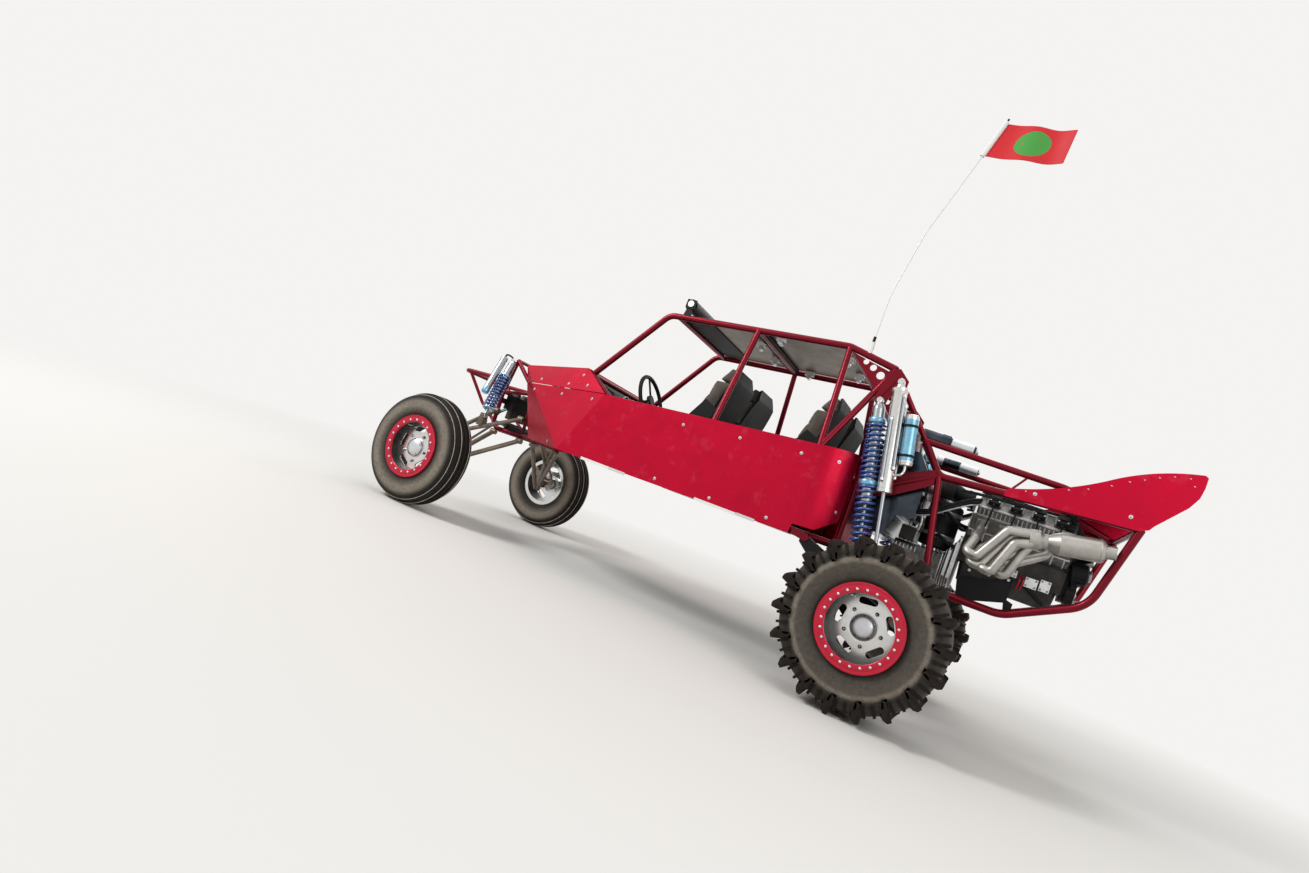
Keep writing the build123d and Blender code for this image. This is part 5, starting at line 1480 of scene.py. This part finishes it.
@dataclass
class ExhaustDress:
    """Weld beads and the rolled tip, placed along the CAD silencer's own axis."""

    collector: tuple = (1726, 450, 1129)
    tip: tuple = (2096, 450, 1189)
    # Columns: distance along the axis, radius, half-width of the ring
    beads: tuple = ((3, 50.6, 2.4), (64, 36.6, 1.6), (136, 58.4, 1.4), (312, 58.6, 2.2), (334, 33.8, 1.8))

    def build(self) -> None:
        """Turns each bead, a half circle in section, and the tip's rolled edge on both sides."""
        for name, side in SIDES:
            shell = Shell(f"exhaust_beads_{name}")
            start, end = at(self.collector, side), at(self.tip, side)
            for along, radius, half in self.beads:
                rows = [(along + half * math.cos(t), radius - half * 0.4 + half * math.sin(t))
                        for t in np.linspace(math.pi, 0, 9)]
                shell.lathe(np.array(rows) * MM, start, end - start, STAINLESS, 72)
            lip = mm((334, 33.4), (372, 33.4), (376, 35), (379, 33.4), (376, 30.5), (374, 29), (373, 0.01))
            shell.lathe(lip, start, end - start, STAINLESS, 64)
            shell.build("chassis", "exhaust", 50)


@dataclass
class CanDress:
    """Bright sleeves and nozzles on the rear frame's two canisters, and the fuel cell's straps."""

    rail: tuple = ((1090, 400, 1470), (1808, 372, 1440))
    # Columns: side, offset inwards, offset up, then rows of start, end, radius
    table: tuple = ((-1, 50, 36, ((124, 250, 33.6), (250, 262, 24), (262, 272, 14))),
                    (1, 34, 34, ((2, 46, 28.6), (146, 258, 28.6), (258, 270, 12))))

    def build(self) -> None:
        """Turns each sleeve about its canister's axis and lays each strap round the fuel cell."""
        shell = Shell("canister_sleeves")
        for side, inwards, up, rows in self.table:
            start, end = at(self.rail[0], side), at(self.rail[1], side)
            along = (end - start) / np.linalg.norm(end - start)
            lift = mm(0, -side * inwards, up)
            lift -= along * (lift @ along)
            for low, high, radius in rows:
                bar(shell, start + lift + along * low * MM, start + lift + along * high * MM, radius * MM,
                    SATIN_SILVER, 48)
            for spot in (76, 112):
                bar(shell, start + lift * 1.35 + along * spot * MM, start + lift * 1.72 + along * spot * MM, 0.006,
                    POLISHED_STEEL, 12)
        for y in (-230, 230):
            strap = mm((868, y, 1404), (1092, y, 1404), (1169, y, 1292), (1169, y, 1030))
            for low, high in zip(strap, strap[1:]):
                middle, run = (low + high) / 2, high - low
                length = float(np.linalg.norm(run))
                run = run / length
                block(shell, middle, (run, np.array([0, 1.0, 0]), np.cross(run, (0, 1.0, 0))),
                      (length / MM + 3, 36, 3), MOULDED_BLACK)
        shell.build("chassis", "black_metal", 40)


@dataclass
class BodyFittings:
    """Fasteners, edge strips, roof clips, lamp lenses and dashboard instruments."""

    # Quarter-turn fasteners on the left: x, half-width, z and the panel's outward normal
    fasteners: tuple = (
        (-1483, 428, 1128, -0.33, 0.88, 0.34), (-1190, 521, 1148, -0.31, 0.91, 0.28),
        (-1097, 526, 1233, -0.31, 0.91, 0.28), (-1008, 576, 1170, -0.31, 0.91, 0.28),
        (-1203, 536, 1066, -0.31, 0.94, 0.14), (-904, 630, 1088, -0.31, 0.94, 0.14),
        (-1500, 443, 1043, -0.31, 0.94, 0.14), (-1154, 573, 731, -0.51, 0.84, -0.22),
        (-219, 650, 1113, 0, 1, 0), (151, 650, 1143, 0, 1, 0), (523, 650, 1168, 0, 1, 0),
        (729, 616, 1188, 0.53, 0.85, 0), (791, 556, 923, 0.8, 0.59, 0), (458, 650, 763, 0, 1, 0),
        (99, 650, 754, 0, 1, 0), (-274, 650, 749, 0, 1, 0),
        (1684, 473, 1352, 0, 1, 0), (2105, 473, 1380, 0, 1, 0),
    )
    # Columns: start x, end x, middle z of the strips along the lower edge, and their finish
    strips: tuple = ((-814, -596, 709, "white"), (-594, -478, 709, "grey"), (11, 282, 720, "white"),
                     (284, 400, 723, "grey"))
    # The roof sheet's middle height at x = 0 and its slope
    roof_foot: float = 1.8496
    roof_slope: float = 0.0653

    def under_roof(self, x: float) -> float:
        """Height of the roof sheet's middle at x: foot + slope * x."""
        return self.roof_foot + self.roof_slope * x

    def build(self) -> None:
        """Makes every fitting."""
        for name, side in SIDES:
            shell = Shell(f"panel_fasteners_{name}")
            table = np.array(self.fasteners, float)
            places, normals = table[:, :3] * (1, side, 1) * MM, table[:, 3:] * (1, side, 1)
            for place, normal in zip(places, normals):
                bar(shell, place, place + normal * 0.002, 0.0095, SATIN_SILVER, 28)
            shell.studs(places + normals * 0.002, normals, 0.0066, 0.003, POLISHED_STEEL, 16)
            for start, end, z, tone in self.strips:
                block(shell, mm((start + end) / 2, side * 651.2, z), SQUARE,
                      (end - start, 2.4, 17), WHIP_WHITE if tone == "white" else SATIN_SILVER)
            rivets = np.array([(x, side * 473.2, z) for x, z in (
                (1990, 1500), (2056, 1543), (2111, 1572), (2166, 1601), (2222, 1625), (2284, 1636), (2309, 1604),
                (1900, 1452), (1820, 1420), (1640, 1352))]) * MM
            shell.studs(rivets, np.tile((0.0, side, 0), (len(rivets), 1)), 0.0035, 0.0014, POLISHED_STEEL, 10)
            shell.build("chassis", "body_paint", 40)
        self.lamps()
        self.roof()
        self.dash()

    def lamps(self) -> None:
        """A row of round lenses along the light bar's front, and its bright end caps."""
        low, high = (np.array(c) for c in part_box("light_bar"))
        shell = Shell("light_bar_lenses")
        z = high[2] - 0.036
        for y in np.linspace(low[1] + 0.052, high[1] - 0.052, 12):
            centre = np.array([low[0] + 0.004, y, z])
            bar(shell, centre, centre - (0.005, 0, 0), 0.030, SATIN_SILVER, 32)
            bar(shell, centre - (0.003, 0, 0), centre - (0.007, 0, 0), 0.026, CLEAR_LENS, 32)
        for y, out in ((low[1] - 0.004, -0.006), (high[1] + 0.004, 0.006)):
            centre = np.array([(low[0] + high[0]) / 2, y, z])
            bar(shell, centre, centre + (0, out, 0), 0.022, SATIN_SILVER, 32)
        for y, out in ((low[1], -0.004), (high[1], 0.004)):
            block(shell, np.array([(low[0] + high[0]) / 2, y + out / 2, z]), SQUARE, (70, 4, 60), SATIN_BLACK)
        shell.build("chassis", "black_metal", 40, 0.001)

    def roof(self) -> None:
        """Black header and beam under the roof sheet, its white clips and its rivets."""
        low, high = (np.array(c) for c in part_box("roof_panel"))
        shell = Shell("roof_fittings")
        rise = np.array([1, 0, self.roof_slope]) / np.linalg.norm([1, 0, self.roof_slope])
        axes = (rise, np.array([0, 1.0, 0]), np.cross(rise, (0, 1.0, 0)))
        for x, width, drop, thick in ((low[0] + 0.125, 190, 0.006, 4), (-0.045, 84, 0.011, 13)):
            block(shell, np.array([x, 0, self.under_roof(x) - drop]), axes, (width, 830, thick), MOULDED_BLACK)
        for x, y in ((0.09, -0.39), (0.09, 0.39), (-0.11, 0.17), (-0.11, -0.17), (0.48, 0.19), (0.48, -0.19)):
            z = self.under_roof(x)
            block(shell, np.array([x, y, z - 0.022]), axes, (64, 30, 32), WHIP_WHITE)
            bar(shell, np.array([x, y - 0.024, z - 0.05]), np.array([x, y + 0.024, z - 0.05]), 0.015, SATIN_SILVER, 16)
        top = [(x, y, self.under_roof(x) + 0.0032) for x in np.linspace(low[0] + 0.03, high[0] - 0.03, 9)
               for y in (low[1] + 0.02, high[1] - 0.02)]
        shell.studs(np.array(top), np.tile(-axes[2], (len(top), 1)), 0.006, 0.003, POLISHED_STEEL, 12)
        shell.build("chassis", "black_metal", 40)

    def dash(self) -> None:
        """Three gauges with bright rims and a row of switches on the dashboard's rear face."""
        _, high = (np.array(c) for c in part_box("dashboard"))
        shell = Shell("dash_instruments")
        z = high[2] - 0.075
        for y in (-0.36, -0.255, -0.15):
            centre = np.array([high[0] - 0.004, y, z])
            bar(shell, centre, centre + (0.010, 0, 0), 0.042, POLISHED_STEEL, 40)
            bar(shell, centre + (0.004, 0, 0), centre + (0.0125, 0, 0), 0.036, MOULDED_BLACK, 40)
            block(shell, centre + (0.0135, 0.006, 0.008), SQUARE, (1.5, 30, 2.4), WHIP_WHITE)
        for y in np.linspace(0.02, 0.30, 7):
            block(shell, np.array([high[0] + 0.002, y, z - 0.02]), SQUARE, (12, 14, 26), MOULDED_BLACK)
            block(shell, np.array([high[0] + 0.009, y, z - 0.014]), SQUARE, (4, 8, 10), RING_RED)
        shell.build("chassis", "black_plastic", 40, 0.001)


@dataclass
class DriveDress:
    """Ribs and bolts on the bell housing, the oil tank, brackets on the engine's side, hoses, and a black hose under
    the rails carried on as painted shade.
    """

    # The bell housing grows from its mouth to its face: x, half-width, half-height, middle z
    mouth: tuple = (1336, 95, 85, 840)
    face: tuple = (1419, 170, 165, 905)

    def loop(self, x: float, grow: float) -> np.ndarray:
        """A superellipse round the housing at a station: (a |cos|^0.5, b |sin|^0.5), near its rounded rectangle.

        Args:
            x: the station, in millimetres.
            grow: how far the loop stands off the housing.
        Returns:
            96 places in metres.
        """
        share = (x - self.mouth[0]) / (self.face[0] - self.mouth[0])
        _, wide, high, middle = (np.array(self.mouth) * (1 - share) + np.array(self.face) * share)
        turn = np.linspace(0, 2 * math.pi, 96, endpoint=False)
        power = 0.5
        y = (wide + grow) * np.sign(np.cos(turn)) * np.abs(np.cos(turn)) ** power
        z = middle + (high + grow) * np.sign(np.sin(turn)) * np.abs(np.sin(turn)) ** power
        return np.stack([np.full(96, x), y, z], -1) * MM

    def bell(self) -> None:
        """Ribs round the housing and bolts round its face."""
        shell = Shell("bell_ribs")
        for x, thick, grow in ((1338, 8, 9), (1354, 4, 6), (1368, 4, 6), (1382, 4, 6), (1396, 4, 6), (1409, 9, 10)):
            inner, outer = self.loop(x, -8), self.loop(x, grow)
            back = np.array([thick * MM, 0, 0])
            shell.grid(np.stack([inner, outer, outer + back, inner + back]), BRIGHT_CAST, wrap_u=True, wrap_v=True)
        bolts = self.loop(1409, 3)[::6]
        shell.studs(bolts - (0.0002, 0, 0), np.tile((-1.0, 0, 0), (len(bolts), 1)), 0.007, 0.008, POLISHED_STEEL, 6)
        for x in np.arange(1082, 1212, 22):
            for side in (-1, 1):
                block(shell, mm(x, side * 97, 840), SQUARE, (5, 12, 130), BRIGHT_CAST)
            block(shell, mm(x, 0, 928), SQUARE, (5, 150, 12), BRIGHT_CAST)
        for side in (-1, 1):
            for x, high, z in ((1404, 210, 905), (1378, 150, 880)):
                block(shell, mm(x, side * 176, z), SQUARE, (15, 9, high), BRIGHT_CAST)
        shell.build("chassis", "cast_metal", 35, 0.001)

    def tank(self) -> None:
        """Black oil tank standing on the transaxle's ribs, the gear selector's case, hoses and the wiring loom."""
        shell = Shell("oil_tank")
        base = mm(1275, 0, 944)
        shell.lathe(mm((0, 0.01), (0, 88), (6, 94), (250, 94), (262, 88), (276, 60), (279, 0.01)), base,
                    (0, 0, 1), SATIN_BLACK, 64)
        for height in (60, 200):
            shell.lathe(mm((height, 94), (height, 97), (height + 22, 97), (height + 22, 94)), base, (0, 0, 1),
                        SATIN_SILVER, 64)
        bar(shell, base + (0, 0, 0.276), base + (0, 0, 0.290), 0.036, SATIN_SILVER, 40)
        block(shell, mm(1127, 0, 972), SQUARE, (86, 250, 78), DARK_CAST)
        for y in (-104, -62, -20, 22, 64, 106):
            block(shell, mm(1127, y, 1014), SQUARE, (78, 8, 8), BRIGHT_CAST)
            block(shell, mm(1171, y, 972), SQUARE, (4, 8, 70), BRIGHT_CAST)
        for y, tone in ((-112, SATIN_SILVER), (-74, MOULDED_BLACK), (-30, ZINC_ARM), (34, MOULDED_BLACK),
                        (90, SATIN_SILVER)):
            line = flow(mm((1126, y, 1012), (1132, y - 6, 1052), (1170, y * 1.2 - 10, 1080),
                           (1186, y * 1.5 - 20, 1044), (1180, y * 1.5 - 14, 1000)), 10)
            shell.pipe(line, 9 * MM, tone, 14)
        for _, side in SIDES:
            for reach, high, drop in ((60, 1150, 40), (84, 1010, 30)):
                line = flow(mm((1275, side * 90, high), (1300, side * (100 + reach), high),
                               (1370, side * (110 + reach), high - drop), (1424, side * reach, high - drop)), 10)
                shell.pipe(line, 11 * MM, MOULDED_BLACK, 14)
                bar(shell, line[0] - (0, side * 0.004, 0), line[0] + (0, side * 0.012, 0), 0.014, BLUE_CAN, 6)
            loom = flow(mm((1150, side * 330, 1090), (1230, side * 336, 1120), (1320, side * 350, 1180),
                           (1400, side * 330, 1235), (1452, side * 296, 1262)), 10)
            shell.pipe(loom, 10 * MM, MOULDED_BLACK, 14)
            shell.pipe(loom + (0, side * 0.014, -0.016), 7 * MM, MOULDED_BLACK, 12)
            shell.pipe(loom - (0, side * 0.012, 0.024), 6 * MM, SATIN_SILVER, 12)
        shell.build("chassis", "black_metal", 35)

    def brackets(self, name: str, side: int) -> None:
        """Bolted brackets, studs and a brace beside the oil pan.

        Args:
            name: left or right.
            side: which side of the car.
        """
        shell = Shell(f"engine_brackets_{name}")
        for x, z, wide, high in ((1806, 928, 62, 54), (1872, 936, 52, 62), (1580, 946, 120, 34), (1700, 948, 60, 40)):
            block(shell, mm(x, side * 149, z), SQUARE, (wide, 12, high), BRIGHT_CAST)
            bolts = np.array([(x + dx * (wide / 2 - 9), side * 155, z + dz * (high / 2 - 9))
                              for dx in (-1, 1) for dz in (-1, 1)]) * MM
            shell.studs(bolts, np.tile((0.0, side, 0), (4, 1)), 0.006, 0.007, POLISHED_STEEL, 6)
        for x in (1744, 1762):
            pipe = flow(mm((x, side * 150, 952), (x + 5, side * 166, 930), (x + 4, side * 166, 900),
                           (x, side * 150, 876)), 6)
            shell.pipe(pipe, 4.6 * MM, RING_RED, 12)
        bar(shell, mm(1776, side * 146, 905), mm(1890, side * 140, 836), 0.009, SATIN_BLACK, 16)
        for x in (1500, 1600, 1700):
            z = 905 - (1700 - x) * 0.1
            bar(shell, mm(x, side * 141, z), mm(x, side * 149, z), 0.009, SATIN_SILVER, 6)
        shell.build("chassis", "cast_metal", 35, 0.001)

    def hoses(self) -> None:
        """Radiator hoses down to the engine, and a black hose under the upper rails, carried on further back as painted
        shade where the tail panel's shadow lies.
        """
        low, _ = (np.array(c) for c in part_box("radiator"))
        shell = Shell("hoses_and_painted_shade_line")
        for _, side in SIDES:
            inlet = np.array([low[0] + 0.06, side * 0.26, low[2] + 0.035])
            path = flow([inlet + (0, 0, 0.02), inlet - (0.004, 0, 0.03), inlet - (0.06, side * 0.02, 0.09),
                         np.array([2.03, side * 0.17, 1.17]), np.array([1.975, side * 0.1, 1.13])], 10)
            shell.pipe(path, 19 * MM, MOULDED_BLACK, 20)
            bar(shell, path[-1] - (0.004, 0, 0), path[-1] + (0.01, 0, 0), 0.022, SATIN_SILVER, 24)
            # Painted shade: in front this black tube is a hose along the rail, further back it stands for the tail
            # panel's shadow
            hose_and_shade_line = flow(mm((1352, 446, 1262), (1450, 444, 1270), (1600, 444, 1276), (1740, 444, 1283))
                        * (1, side, 1), 8)
            shell.pipe(hose_and_shade_line, 8 * MM, MOULDED_BLACK, 16)
            for point in hose_and_shade_line[4::8]:
                bar(shell, point - (0.006, 0, 0), point + (0.006, 0, 0), 0.010, SATIN_BLACK, 20)
        shell.build("chassis", "black_plastic", 40)

    def build(self) -> None:
        """Dresses the bell housing, the tank, both sides of the engine and the hoses."""
        self.bell()
        self.tank()
        for name, side in SIDES:
            self.brackets(name, side)
        self.hoses()


@dataclass
class Studio:
    """Camera at the photograph's viewing angle, pale floor and soft light."""

    camera_place: tuple[float, float, float] = (1.6596, -4.6494, 0.7552)
    turn: tuple[float, float, float] = (-0.1345, 0.3386, -0.4559)
    focal_px: float = 735.3
    sensor_mm: float = 36.0
    backdrop: float = 1.0

    def axes(self) -> np.ndarray:
        """Camera right, forward and up, from the turn vector by Rodrigues' formula.

        Returns:
            The three directions as rows.
        """
        turn = np.array(self.turn)
        angle = np.linalg.norm(turn)
        x, y, z = turn / angle
        cross = np.array([[0, -z, y], [z, 0, -x], [-y, x, 0]])
        return np.eye(3) + math.sin(angle) * cross + (1 - math.cos(angle)) * cross @ cross

    def build(self) -> None:
        """Makes the camera, the floor, the lamps and the world."""
        right, forward, up = self.axes()
        data = bpy.data.cameras.new("camera")
        data.sensor_width = self.sensor_mm
        data.lens = self.focal_px / PHOTO_WIDTH * self.sensor_mm
        camera = bpy.data.objects.new("camera", data)
        pose = Matrix.Identity(4)
        for row in range(3):
            pose[row][0], pose[row][1], pose[row][2] = right[row], up[row], -forward[row]
            pose[row][3] = self.camera_place[row]
        camera.matrix_world = pose
        bpy.context.scene.collection.objects.link(camera)
        bpy.context.scene.camera = camera
        self.floor()
        self.lamps()
        self.world()
        bpy.context.scene.view_settings.view_transform = "Standard"

    def floor(self) -> None:
        """Pale matt floor that shows white to the camera and in reflections, and keeps its shadow."""
        size = 7.0
        mesh = bpy.data.meshes.new("floor")
        mesh.from_pydata([(-size, -size, 0), (size, -size, 0), (size, size, 0), (-size, size, 0)], [], [(0, 1, 2, 3)])
        material = bpy.data.materials.new("pale_floor")
        material.use_nodes = True
        tree = material.node_tree
        tree.nodes.clear()
        diffuse = add_node(tree, "ShaderNodeBsdfDiffuse", inputs={"Color": srgb("E4E2DE")})
        clear = add_node(tree, "ShaderNodeBsdfTransparent")
        place = add_node(tree, "ShaderNodeTexCoord").outputs["Object"]
        away = add_node(tree, "ShaderNodeVectorMath", {"operation": "LENGTH"}, {0: place})
        fade = add_node(tree, "ShaderNodeMapRange", inputs={
            "Value": away.outputs["Value"], "From Min": 2.2, "From Max": 6.0})
        mixed = add_node(tree, "ShaderNodeMixShader", inputs={
            0: fade.outputs["Result"], 1: diffuse.outputs["BSDF"], 2: clear.outputs["BSDF"]})
        add_node(tree, "ShaderNodeOutputMaterial", inputs={"Surface": mixed.outputs["Shader"]})
        mesh.materials.append(material)
        floor = bpy.data.objects.new("floor", mesh)
        bpy.context.scene.collection.objects.link(floor)

    def lamps(self) -> None:
        """A large key lamp from the front left, a fill from the rear left, one from the far side and one overhead."""
        table = (("key", (-6.0, -5.8, 6.2), 520.0, 2.4), ("fill", (5.5, -5.0, 3.5), 130.0, 4.0),
                 ("back", (1.0, 6.5, 5.0), 150.0, 5.0), ("top", (0.0, 0.0, 8.0), 110.0, 6.0))
        for name, place, power, size in table:
            lamp = bpy.data.lights.new(name, "AREA")
            lamp.energy, lamp.size = power, size
            item = bpy.data.objects.new(name, lamp)
            item.location = place
            item.rotation_euler = (Vector((0.0, 0.0, 0.8)) - Vector(place)).to_track_quat("-Z", "Y").to_euler()
            bpy.context.scene.collection.objects.link(item)

    def world(self) -> None:
        """White to the camera and to glossy rays, and a softer grey light on the object."""
        world = bpy.data.worlds.new("studio")
        world.use_nodes = True
        tree = world.node_tree
        tree.nodes.clear()
        path = add_node(tree, "ShaderNodeLightPath")
        shine = add_node(tree, "ShaderNodeMath", {"operation": "MAXIMUM"}, {
            0: path.outputs["Is Glossy Ray"], 1: path.outputs["Is Transmission Ray"]})
        either = add_node(tree, "ShaderNodeMath", {"operation": "MAXIMUM"}, {
            0: path.outputs["Is Camera Ray"], 1: shine.outputs["Value"]})
        seen = add_node(tree, "ShaderNodeBackground", inputs={"Color": srgb("F4F3F1"), "Strength": self.backdrop})
        light = add_node(tree, "ShaderNodeBackground", inputs={"Color": srgb("F4F3F1"), "Strength": 0.5})
        mixed = add_node(tree, "ShaderNodeMixShader", inputs={
            0: either.outputs["Value"], 1: light.outputs["Background"], 2: seen.outputs["Background"]})
        add_node(tree, "ShaderNodeOutputWorld", inputs={"Surface": mixed.outputs["Shader"]})
        bpy.context.scene.world = world


def main() -> None:
    """Builds the studio and every sub-assembly."""
    Studio().build()
    dress_cad_nodes()
    repaint_cad_nodes()
    build_wheels()
    build_shocks()
    BucketSeats().build()
    FlagAndWhip().build()
    EngineDress().build()
    DriveDress().build()
    NoseDress().build()
    ExhaustDress().build()
    CanDress().build()
    BodyFittings().build()


if __name__ == "__main__":
    main()
